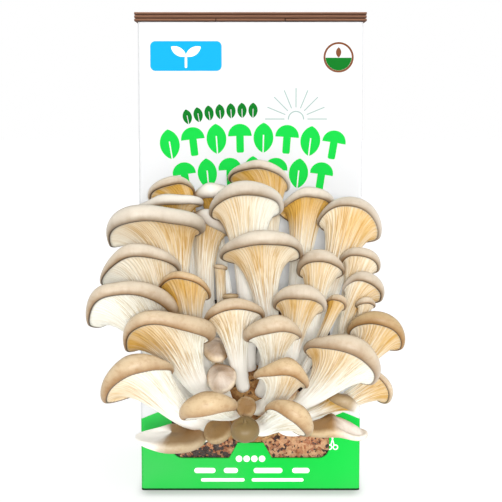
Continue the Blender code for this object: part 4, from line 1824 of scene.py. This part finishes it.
MUSHROOMS = (
    Mushroom("mushroom_top_1", (-38, 151, 10), 37, -9, (10, 10, 6, 11.5), (5, 2.5, 3, 2.5),
        (-105, 50), 2.2, seat=(8, -3), flare=2, look=Look(0.25, 1.2, 0, 0.9)),
    Mushroom("mushroom_top_2", (-40, 145.5, 23), 15, -5, (10, 16, 6, 15.5), (5.5, 4, 4, 2.5),
        (-88, 36), 2.2, seat=(2, -3), flare=2,
        look=Look(0.0, 1.0, 0, 0.8, pale=0.5, highlight_even=0.6)),
    Mushroom("mushroom_top_3", (-20.5, 137, 20), 8, 29, (8, 11, 3.8, 8), (8, 4, 5, 4), (-72, 58),
        4, look=Look(0.05, 0.7, 0, 1.0, pale=0.5, highlight_side=0)),
    Mushroom("mushroom_top_4", (-19, 149.5, 8), 6, -4, (9, 12, 5.5, 7), (7.5, 4, 4, 4),
        (-95, 78), 2.5, flare=2.2, look=Look(0.0, 1.2, 0, 1.0, pale=0.5, highlight_side=0)),
    Mushroom("mushroom_top_5", (-2, 144.5, 36), 34, -4, (17, 16, 8, 16.5), (8, 5, 4, 3),
        (-6, 72), 4.5, look=Look(0.1, 0.6, -70, 0.15, pale=0.5)),
    Mushroom("mushroom_top_6", (4, 157, 13.5), 36, 9, (13, 14.5, 7, 14.5), (5, 3, 3, 2.5),
        (85, 78), 3.2, seat=(8, 0), flare=2, look=Look(0.15, 1.1, -60, 0.8, pale=0.5)),
    Mushroom("mushroom_top_7", (27.5, 147.5, 24), 24, 6, (11, 12, 7, 13), (5.5, 4, 3, 3),
        (95, 60), 4, drop=(0, 0, 10, 6), flare=1.5, look=Look(0.1, 1.3, -20, 0.9)),
    Mushroom("mushroom_top_8", (46, 136.5, 32), 50, 15, (15, 15, 7, 14), (6, 4, 4, 3), (88, 42),
        3.5, look=Look(0.15, 0.9, 60, 0.5, pale=0.4, highlight_side=60)),
    Mushroom("mushroom_centre_1", (5.5, 124.5, 49), 27, -2, (19, 17.5, 8, 18.5), (7.5, 4, 4, 3),
        (32, 57), 4.6, flare=1.9, look=Look(0.2, 0.8, -70, 0.5)),
    Mushroom("mushroom_centre_2", (22.5, 102, 58), 35, 4, (11, 11, 6, 11), (8, 4, 4, 4),
        (37, 37), 3.5, look=Look(0.25, 0.9, -20, 0.6, pale=0.5)),
    Mushroom("mushroom_centre_3", (-7.5, 96, 60), 35, -8, (13, 13, 6, 13), (6, 4, 4, 3),
        (-11, 38), 4, look=Look(0.5, 0.5, -60, 0.3)),
    Mushroom("mushroom_centre_4", (11, 89.5, 68), 24, -4, (12, 11.5, 6, 12), (8.5, 3, 4, 6),
        (14, 30), 3.5, look=Look(0.5, 0.5, 80, 0.2, pale=0.3, highlight_side=60)),
    Mushroom("mushroom_centre_5", (16, 72.5, 76), 20, 4, (10, 9, 6, 13.5), (8.5, 4, 4, 3.5),
        (7, 9), 4, drop=(0, 3, 0, 0), bow=(0.12, 0.35), look=Look(0.8, 0.6, 60, 0.2)),
    Mushroom("mushroom_centre_6", (-16, 80.5, 44), -34, 20, (8, 5, 5, 6), (4, 3, 3, 3),
        (-34, 36), 2.5, crown=1.6, look=Look(1.0, 0.9, 0, 0.8, 0.0, 0.52, 180, 0.9)),
    Mushroom("mushroom_centre_7", (-14.5, 68, 48), -52, -6, (8, 7, 5.5, 5), (3, 2.5, 2.5, 2.5),
        (-25, 17), 2, bow=(0.15, 0.35), crown=2,
        look=Look(1.0, 0.9, 0, 0.8, 0.0, 0.54, 180, 0.9)),
    Mushroom("mushroom_centre_8", (17, 60.5, 42), -45, 10, (6.5, 4.5, 5.5, 5.5), (2.5, 2, 2, 2),
        (34, -8), 2.5, bow=(0.15, 0.35), crown=2,
        look=Look(1.0, 0.9, 0, 0.8, 0.0, 0.5, 180, 0.9)),
    Mushroom("mushroom_left_1", (-52, 134, 37), 24, -8, (20, 28, 9, 15), (8.5, 8, 5, 1.5),
        (-76, 24), 4, seat=(15, -4), drop=(0, 3, 0, 2), look=Look(0.1, 0.8, 60, 0.3)),
    Mushroom("mushroom_left_2", (-51.5, 117.5, 49), 30, -4, (18, 18, 8, 18), (7, 4, 4, 1.5),
        (-84, 0), 3.5, seat=(8, -2), drop=(0, 0, 0, 4), look=Look(0.25, 0.5, 60, 0.1)),
    Mushroom("mushroom_left_3", (-62, 100, 59), 32, -9, (20, 25.5, 9, 12.5), (6.5, 9.5, 5, 2),
        (-64, 6), 4, seat=(15, -4), drop=(0, 5, 0, 4), look=Look(0.35, 0.25, 120, 0.2)),
    Mushroom("mushroom_left_4", (-32, 109.5, 57), 36, 11, (13, 13, 6.5, 10), (4, 2.5, 3, 2),
        (-58, 40), 3.5, seat=(4, 0), look=Look(0.8, 1.0, -30, 0.8)),
    Mushroom("mushroom_left_5", (-43.5, 89.5, 69), 30, -7, (19, 24, 8, 13), (7, 9.5, 5, 2.5),
        (-42, 18), 5, seat=(12, -4), drop=(0, 4, 0, 3), flare=1.2,
        look=Look(0.6, 1.0, -70, 0.05)),
    Mushroom("mushroom_left_6", (-50, 72.5, 77), 22, -14, (15, 15, 9, 16.5), (9.5, 3.5, 5, 5),
        (-46, -10), 5, seat=(8, -3), drop=(0, 0, 5, 6), flare=1.2, bow=(0.25, 0.35),
        look=Look(0.7, 0.7, -110, 0.05)),
    Mushroom("mushroom_right_1", (32, 116.5, 44), 39, 1, (11, 11, 6, 9), (7, 3, 3, 4), (66, 38),
        3, look=Look(0.25, 0.7, -40, 0.4)),
    Mushroom("mushroom_right_2", (51.5, 119.5, 40), 40, 14, (9, 8.5, 4.5, 8.5), (5, 3, 3, 4),
        (90, 24), 2.5, look=Look(0.25, 0.5, 0, 0.7)),
    Mushroom("mushroom_right_3", (52.5, 107, 47), 45, 17, (10, 8.5, 5, 9), (6, 3, 3, 3), (86, 8),
        2.8, seat=(-4, 0), flare=2.2, look=Look(0.25, 0.8, 60, 0.3, pale=0.5, highlight_side=-90)),
    Mushroom("mushroom_right_4", (53.5, 102, 52), 30, 0, (4.5, 4, 2.5, 4), (3.5, 2, 1.5, 2),
        (70, 12), 1.8, flare=2.4, look=Look(0.4, 0.5, 0, 0.8)),
    Mushroom("mushroom_right_5", (58, 88, 55), 42, 10, (12, 12, 6.5, 12), (7.5, 4, 4, 4),
        (72, -6), 3.5, drop=(0, 3, 0, 0), bow=(0.1, 0.35), look=Look(0.9, 0.9, 60, 0.3, 0.2)),
    Mushroom("mushroom_right_6", (39.5, 103, 56), 36, 22, (5.5, 4, 3, 4.5), (3.5, 2, 2, 2),
        (50, 25), 2.2, flare=2.4, bow=(0.2, 0.35), look=Look(0.5, 1.4, -90, 0.5)),
    Mushroom("mushroom_right_7", (40.5, 76.5, 66), 33, 26, (17, 17, 8, 17), (9.5, 4, 4, 4),
        (54, 7), 4.2, flare=1.25, bow=(0.12, 0.35), look=Look(0.4, 0.9, -90, 0.1, pale=0.4)),
    Mushroom("mushroom_right_8", (59, 61, 34), 30, 55, (10, 10, 9, 10), (3, 2.5, 2.5, 2.5),
        (84, -20), 3, bow=(0.2, 0.35), look=Look(0.5, 0.9, 60, 0.3)),
    Mushroom("mushroom_low_1", (-18.5, 57.5, 82), 14, -11, (12, 11, 9, 11), (11, 6, 6, 5),
        (-17, 4), 3.8, seat=(6, -5), flare=1.1, bow=(0.15, 0.35), follow=0.95,
        look=Look(0.8, 0.2, 0, 0.5)),
    Mushroom("mushroom_low_2", (16, 53.5, 80), 22, 35, (11, 10, 8, 10.5), (9, 5, 5, 4), (9, -17),
        4.5, seat=(-5, -4), flare=1.1, bow=(0.1, 0.2), follow=1, look=Look(0.8, 0.3, 90, 0.0)),
    Mushroom("mushroom_low_3", (-37.5, 37.5, 43), -20, 3, (12, 15, 6, 17), (5, 4, 4, 1.5),
        (-66, -34), 3.5, seat=(8, -5), follow=0.95, crown=1,
        look=Look(0.6, 0.8, 0, 0.8, 0.35, 1.0, -90)),
    Mushroom("mushroom_low_4", (-16, 41, 45), -34, -18, (7, 7, 5, 5), (3.5, 3, 3, 3), (-30, -26),
        2, seat=(0, -3), follow=0.95, crown=1.2, look=Look(0.8, 0.8, 0, 0.8, 0.5)),
    Mushroom("mushroom_low_5", (-2.5, 44.5, 67), -26, 0, (3.4, 3.4, 3.2, 3.4), (8.5, 8, 9, 8),
        (-5, -29), 1.8, seat=(0, -3), bow=(0.1, 0.3), follow=0.95, crown=1.2,
        look=Look(0.8, 0.8, 0, 0.8, 1.0)),
    Mushroom("mushroom_low_6", (42.5, 54.5, 45), 4, 28, (8, 7.5, 3.6, 7), (6, 4, 3, 3.5),
        (58, -11), 2, seat=(-2, -2), bow=(0.2, 0.35), follow=0.8, crown=1,
        look=Look(0.7, 1.2, 0, 1.0, 0.5, 1.0, 100)),
    Mushroom("mushroom_low_7", (39.5, 43, 38.5), -26, -8, (8.5, 15, 4, 13), (5, 3, 3.5, 3.5),
        (46, -28), 2.2, seat=(3, -4), drop=(0, 9, 0, 1), bow=(0.25, 0.3), follow=0.95, crown=1.5,
        look=Look(0.8, 1.2, 90, 0.5, 0.15, 0.6, 60)),
    Mushroom("mushroom_low_8", (-2, 55, 55), -55, 0, (4.5, 3.5, 4, 3.5), (3, 3, 3, 3), (-10, 17),
        1.8, crown=0.9, look=Look(0.8, 0.8, 0, 0.8, 0.2, 0.3, 180, 0.9)),
    Mushroom("pin_1", (-14.5, 117, 30), 10, 8, (2.6, 2.6, 2.4, 2.6), (2.4, 2, 2, 2), (-38, 60),
        2.4, look=Look(0.6, 0.6, 0, 0.8)),
    Mushroom("pin_2", (-9.5, 103.5, 33), 5, -4, (3.2, 3.2, 2.8, 3.2), (2.4, 2, 2, 2), (-10, 56),
        1.6, look=Look(0.8, 0.8, 0, 0.8)),
)


# Carton ----------------------------------------------------------------------

@dataclass
class Carton:
    """The printed carton and the boards that close its top."""

    waviness: float = 0.00012
    round_over: float = 0.00018
    gap: float = 0.0003
    lip_depth: float = 0.006
    long_edge: float = 0.02
    edge_cuts: int = 48
    wave_sizes: Triple = (0.012, 0.012, 0.02)
    wave_shifts: Triple = (0, 9, 4)
    sharp_angle: float = 35.0
    lip_seed: float = 21.0
    flaps: dict[str, str] = field(default_factory=lambda: {
        "dust_flap_left": "left_dust_board",
        "dust_flap_right": "right_dust_board",
        "top_flap_inner": "inner_top_board",
        "top_flap_outer": "outer_top_board",
    })

    def dress_body(self) -> None:
        """Print the body of the carton."""
        body = frame["nodes"]["carton_body"]
        body.data.materials.clear()
        body.data.materials.append(PrintedBoard().build())
        log.info("carton_body: printed")

    def board(self, name: str, low: Vector, high: Vector, seed: float,
              finish: bpy.types.Material, *nodes: str) -> Shape:
        """One flap: a thin board whose edges are worn and not quite straight.

        Args:
            name: the piece's name.
            low: its lowest corner.
            high: its highest corner.
            seed: shifts its waviness.
            finish: the finish of its edges.
            nodes: the solids that it replaces.

        Returns:
            The finished piece.
        """
        piece = new_block(name, low, high)
        bpy.ops.object.mode_set(mode="EDIT")
        bpy.ops.mesh.select_all(action="SELECT")
        bpy.ops.mesh.bevel(offset=self.round_over, segments=2, affect="EDGES")
        bpy.ops.object.mode_set(mode="OBJECT")
        bm = open_mesh(piece)
        long_edges = [edge for edge in bm.edges if edge.calc_length() > self.long_edge]
        bmesh.ops.subdivide_edges(bm, edges=long_edges, cuts=self.edge_cuts, use_grid_fill=True)
        close_mesh(bm, piece)
        points = points_of(piece.data)
        middle = np.array((low + high) / 2)
        along = points * np.array((1.0, 1.0, 0.0))
        inwards = np.sign(points - middle)
        for axis, (size, shift) in enumerate(zip(self.wave_sizes, self.wave_shifts)):
            waves = np.abs(roughen(along, size, self.waviness, seed + shift))
            points[:, axis] -= inwards[:, axis] * waves
        set_points(piece.data, points)
        dress(piece, finish)
        piece.data.set_sharp_from_angle(angle=radians(self.sharp_angle))
        return place(piece, "raw_board_edge", *nodes)

    def lips(self) -> dict[str, tuple[Vector, Vector]]:
        """Place the folded edges of the front and the back, which show between
        the two dust flaps.

        Returns:
            The two corners of each, by its name.
        """
        (first, top), (last, _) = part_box("dust_flap_left"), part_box("dust_flap_right")
        left, right = top.x + self.gap, last.x - self.gap
        ends = {"front_lip_board": (first.y, first.y + self.lip_depth),
                "back_lip_board": (top.y - self.lip_depth, top.y)}
        return {name: (Vector((left, near, first.z)), Vector((right, far, top.z)))
                for name, (near, far) in ends.items()}

    def build(self) -> None:
        """Dress the body and model the flaps."""
        self.dress_body()
        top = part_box("top_flap_outer")[1].z
        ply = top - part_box("top_flap_inner")[1].z
        finish = RawEdgeFinish(top=top, ply=ply).build()
        for seed, (node, name) in enumerate(self.flaps.items()):
            self.board(name, *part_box(node), seed * 3.0, finish, node)
        for name, (low, high) in self.lips().items():
            self.board(name, low, high, self.lip_seed, finish)


# Bag and substrate -----------------------------------------------------------

@dataclass
class Filling:
    """The bag of grown-through sawdust behind the window, in metres."""

    corner: float = 0.006
    grain: float = 0.0009
    recess: float = 0.0009
    slit_centre: float = 0.050
    slit_half_width: float = 0.032
    slit_half_height: float = 0.026
    window_low: tuple[float, float] = (-0.042, 0.012)
    window_high: tuple[float, float] = (0.042, 0.100)
    window_fade: float = 0.004
    face_depth: float = 0.0005
    crumbs: tuple[Triple, ...] = (
        (0.0045, 0.0011, 1.0), (0.0021, 0.0013, 5.0), (0.0012, 0.0006, 7.0),
    )
    chips: int = 1500
    chip_seed: int = 5
    chip_side_margin: float = 0.003
    chip_foot_margin: float = 0.004
    chip_top_margin: float = 0.03
    chip_depths: Span = (0.0003, 0.0014)
    chip_sizes: Span = (0.00045, 0.0011)
    chip_flatness: float = 0.55
    chip_lengths: Span = (0.5, 1.6)
    chip_lean: float = 0.5
    chip_uneven: Span = (0.7, 1.2)
    chip_hues: Four = (-0.55, -0.25, 0.1, 0.45)
    film: float = 0.0001
    film_grain: float = 0.0016
    film_inset: float = 0.0003
    crease_slant: Triple = (1.0, 1.0, 0.45)
    long_creases: Triple = (0.007, 0.0016, 2.0)
    short_creases: Triple = (0.004, 0.0004, 6.0)

    def split_front(self, piece: Shape, step: float) -> None:
        """Divide the front of a block finely, where the window shows it.

        Args:
            piece: the block.
            step: about how far apart the points come to lie.
        """
        bm = open_mesh(piece)
        for axis, at in ((0, self.window_low[0]), (0, self.window_high[0]),
                         (2, self.window_low[1]), (2, self.window_high[1])):
            across = Vector((0, 0, 0))
            across[axis] = 1
            bmesh.ops.bisect_plane(
                bm, geom=bm.verts[:] + bm.edges[:] + bm.faces[:],
                plane_co=across * at, plane_no=across,
            )
        shown = [side for side in bm.faces if side.normal.y < -0.99 and self.in_window(side)]
        edges = list({edge for side in shown for edge in side.edges})
        cuts = round((self.window_high[0] - self.window_low[0]) / step)
        bmesh.ops.subdivide_edges(bm, edges=edges, cuts=cuts, use_grid_fill=True)
        close_mesh(bm, piece)

    def in_window(self, side: bmesh.types.BMFace) -> bool:
        """Whether a face of the front lies in the window's part."""
        middle = side.calc_center_median()
        return (self.window_low[0] < middle.x < self.window_high[0]
                and self.window_low[1] < middle.z < self.window_high[1])

    def in_slit(self, side: bmesh.types.BMFace) -> bool:
        """Whether a face of the front lies where the film is cut open."""
        middle = side.calc_center_median()
        return hypot(middle.x / self.slit_half_width,
                     (middle.z - self.slit_centre) / self.slit_half_height) < 1

    def window_share(self, points: np.ndarray) -> np.ndarray:
        """Where the window's part of the front is.

        Args:
            points: places, one row each.

        Returns:
            For each point 1 inside, fading to 0 at the edges.
        """
        inside = np.ones(len(points))
        for axis, low, high in (
            (0, self.window_low[0], self.window_high[0]),
            (2, self.window_low[1], self.window_high[1]),
        ):
            inside *= smooth_step(points[:, axis], low, low + self.window_fade)
            inside *= 1 - smooth_step(points[:, axis], high - self.window_fade, high)
        return inside

    def substrate(self, finish: bpy.types.Material) -> Shape:
        """The block, with a crumbly face behind the window.

        Args:
            finish: the finish of the sawdust.

        Returns:
            The finished piece.
        """
        low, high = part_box("substrate_block")
        piece = rounded_block("sawdust_block", low, high, self.corner, segments=4)
        self.split_front(piece, self.grain)
        points = points_of(piece.data)
        front = (points[:, 1] < low.y + self.face_depth) * self.window_share(points)
        crumbs = np.zeros(len(points))
        near = front > 0
        for crumb in self.crumbs:
            crumbs[near] += roughen(points[near], *crumb)
        points[:, 1] += front * (self.recess - crumbs)
        points[:, 1] = np.maximum(points[:, 1], low.y)
        set_points(piece.data, points)
        set_values(piece.data, "hue", np.zeros(len(points)))
        dress(piece, finish)
        return place(piece, "substrate", "substrate_block")

    def sawdust(self, finish: bpy.types.Material) -> Shape:
        """Loose chips that stand out of the block's face, in one piece.

        Args:
            finish: the finish of the sawdust.

        Returns:
            The finished piece.
        """
        rng = np.random.default_rng(self.chip_seed)
        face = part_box("substrate_block")[0].y
        (left, foot), (right, top) = self.window_low, self.window_high
        deselect()
        bpy.ops.mesh.primitive_ico_sphere_add(subdivisions=1, radius=1.0, location=(0, 0, 0))
        chip = bpy.context.object
        shape = points_of(chip.data)
        faces = np.array([list(side.vertices) for side in chip.data.polygons])
        bpy.data.objects.remove(chip)
        points, sides, hues = [], [], []
        for number in range(self.chips):
            spot = np.array((
                rng.uniform(left + self.chip_side_margin, right - self.chip_side_margin),
                face + rng.uniform(*self.chip_depths),
                rng.uniform(foot + self.chip_foot_margin, top - self.chip_top_margin),
            ))
            size = rng.uniform(*self.chip_sizes) * np.array(
                (1.0, self.chip_flatness, rng.uniform(*self.chip_lengths)))
            turn = Matrix.Rotation(rng.uniform(0, 2 * pi), 3, "Y")
            turn = turn @ Matrix.Rotation(rng.uniform(-self.chip_lean, self.chip_lean), 3, "X")
            bumps = rng.uniform(*self.chip_uneven, (len(shape), 1))
            bent = (shape * bumps * size) @ np.array(turn).T
            bent[:, 1] = np.maximum(bent[:, 1], face - spot[1])
            points.append(bent + spot)
            sides.append(faces + number * len(shape))
            hues.append(np.full(len(shape), rng.choice(self.chip_hues)))
        mesh = bpy.data.meshes.new("sawdust_chips")
        mesh.from_pydata(np.concatenate(points).tolist(), [], np.concatenate(sides).tolist())
        mesh.update()
        set_values(mesh, "hue", np.concatenate(hues))
        piece = bpy.data.objects.new("sawdust_chips", mesh)
        bpy.context.scene.collection.objects.link(piece)
        mesh.materials.append(finish)
        return place(piece, "substrate")

    def bag(self, finish: bpy.types.Material) -> Shape:
        """The film, cut open where the mushrooms come out, and creased.

        Args:
            finish: the finish of the film.

        Returns:
            The finished piece.
        """
        low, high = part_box("grow_bag")
        inset = Vector((self.film_inset,) * 3)
        low, high = low + inset, high - inset
        piece = rounded_block("clear_bag", low, high, self.corner, segments=3)
        self.split_front(piece, self.film_grain)
        bm = open_mesh(piece)
        opened = [side for side in bm.faces if side.normal.y < -0.9 and self.in_slit(side)]
        bmesh.ops.delete(bm, geom=opened, context="FACES")
        close_mesh(bm, piece)
        points = points_of(piece.data)
        front = (points[:, 1] < low.y + self.face_depth) * self.window_share(points)
        slanted = points * np.array(self.crease_slant)
        creases = np.abs(roughen(slanted, *self.long_creases))
        creases += roughen(points, *self.short_creases)
        points[:, 1] -= front * (creases + self.film)
        set_points(piece.data, points)
        wall = piece.modifiers.new("film", "SOLIDIFY")
        wall.thickness = self.film
        wall.offset = 0
        apply_modifiers(piece)
        dress(piece, finish)
        return place(piece, "bag_film", "grow_bag")

    def build(self) -> None:
        """Model the block, its chips and the bag."""
        sawdust = SubstrateFinish().build()
        self.substrate(sawdust)
        self.sawdust(sawdust)
        self.bag(FilmFinish().build())


# Cluster ---------------------------------------------------------------------

@dataclass
class Cluster:
    """All the mushrooms and the knot that they grow from."""

    mushrooms: tuple[Mushroom, ...]

    def build(self) -> None:
        """Model the knot, then each mushroom."""
        ROOTS.build(RootFinish().build())
        flesh = FleshFinish().build()
        forms = [mushroom.form(seed) for seed, mushroom in enumerate(self.mushrooms)]
        shelter = Shelter(forms)
        for mushroom, form in zip(self.mushrooms, forms):
            mushroom.build(form, shelter.measure(form), flesh)


# Studio ----------------------------------------------------------------------

@dataclass(frozen=True)
class Sun:
    """One wide, soft light from a direction: degrees from straight above, then
    degrees round from the front to the right."""

    name: str
    strength: float
    spread: float
    tilt: float
    turn: float

    def build(self) -> None:
        """Hang the light."""
        lamp = bpy.data.lights.new(self.name, "SUN")
        lamp.energy = self.strength
        lamp.angle = radians(self.spread)
        holder = bpy.data.objects.new(self.name, lamp)
        holder.rotation_euler = (radians(self.tilt), 0, radians(self.turn))
        bpy.context.scene.collection.objects.link(holder)


@dataclass
class Studio:
    """A white floor, soft light and the camera, in metres and degrees."""

    eye: tuple[float, float, float] = (0.00025, -0.74091, 0.19820)
    pitch: float = 6.2
    view_angle: float = 20.33
    near_clip: float = 0.01
    suns: tuple[Sun, ...] = (
        Sun("key_light", 0.9, 36.0, 56.0, 30.0),
        Sun("front_light", 2.3, 14.0, 83.0, 3.0),
    )
    sky_top: float = 0.5
    sky_heights: Span = (0.12, 0.6)
    floor_size: float = 12.0
    floor_glow: float = 0.84
    floor_shade: float = 0.40
    floor_dark: Colour = (0.22, 0.22, 0.23)
    floor_light: Colour = (0.24, 0.24, 0.24)
    speckle: float = 30.0
    floor_roughness: float = 0.9
    contact: float = 0.020
    contact_back: float = 0.002
    contact_side: float = 0.006

    def camera(self) -> None:
        """A camera in front, a little above the middle of the carton."""
        lens = bpy.data.cameras.new("front_camera")
        lens.sensor_fit = "HORIZONTAL"
        lens.angle = radians(self.view_angle)
        lens.clip_start = self.near_clip
        holder = bpy.data.objects.new("front_camera", lens)
        holder.location = self.eye
        holder.rotation_euler = (radians(90 - self.pitch), 0, 0)
        bpy.context.scene.collection.objects.link(holder)
        bpy.context.scene.camera = holder

    def floor(self) -> None:
        """A plain white floor, a little darker in front of the carton's foot."""
        deselect()
        bpy.ops.mesh.primitive_plane_add(size=self.floor_size, location=(0, 0, 0))
        piece = bpy.context.object
        piece.name = "studio_floor"
        graph = Graph("white_floor")
        speckle = graph.clouds(graph.where(), self.speckle)
        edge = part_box("carton_body")[1].x
        x, y, _ = graph.split(graph.where())
        ahead = graph.ramp(y, FRONT - self.contact, FRONT + self.contact_back)
        beside = graph.ramp(graph.math("ABSOLUTE", x), edge + self.contact_side,
                            edge - self.contact_side)
        shade = graph.times(ahead, beside)
        piece.data.materials.append(graph.surface(
            Base_Color=graph.mix(speckle, self.floor_dark, self.floor_light),
            Roughness=self.floor_roughness,
            Emission_Color=(1.0, 1.0, 1.0),
            Emission_Strength=graph.ramp(shade, 0.0, 1.0, self.floor_glow, self.floor_shade),
        ))

    def surroundings(self) -> None:
        """White light from all round, dimmer from above."""
        world = bpy.data.worlds.new("white_studio")
        world.use_nodes = True
        nodes, links = world.node_tree.nodes, world.node_tree.links
        parts = nodes.new("ShaderNodeSeparateXYZ")
        links.new(nodes.new("ShaderNodeTexCoord").outputs["Object"], parts.inputs[0])
        fall = nodes.new("ShaderNodeMapRange")
        fall.interpolation_type = "SMOOTHSTEP"
        links.new(parts.outputs["Z"], fall.inputs[0])
        for target, value in zip(list(fall.inputs)[1:5], (*self.sky_heights, 1.0, self.sky_top)):
            target.default_value = value
        links.new(fall.outputs[0], nodes["Background"].inputs["Strength"])
        nodes["Background"].inputs["Color"].default_value = (1.0, 1.0, 1.0, 1.0)
        bpy.context.scene.world = world

    def build(self) -> None:
        """Set up the camera, the lights and the floor."""
        self.camera()
        self.surroundings()
        self.floor()
        for sun in self.suns:
            sun.build()
        bpy.context.scene.view_settings.view_transform = "Standard"


def main() -> None:
    logging.basicConfig(level=logging.INFO, format="%(message)s")
    Studio().build()
    Carton().build()
    Filling().build()
    Cluster(MUSHROOMS).build()


if __name__ == "__main__":
    main()
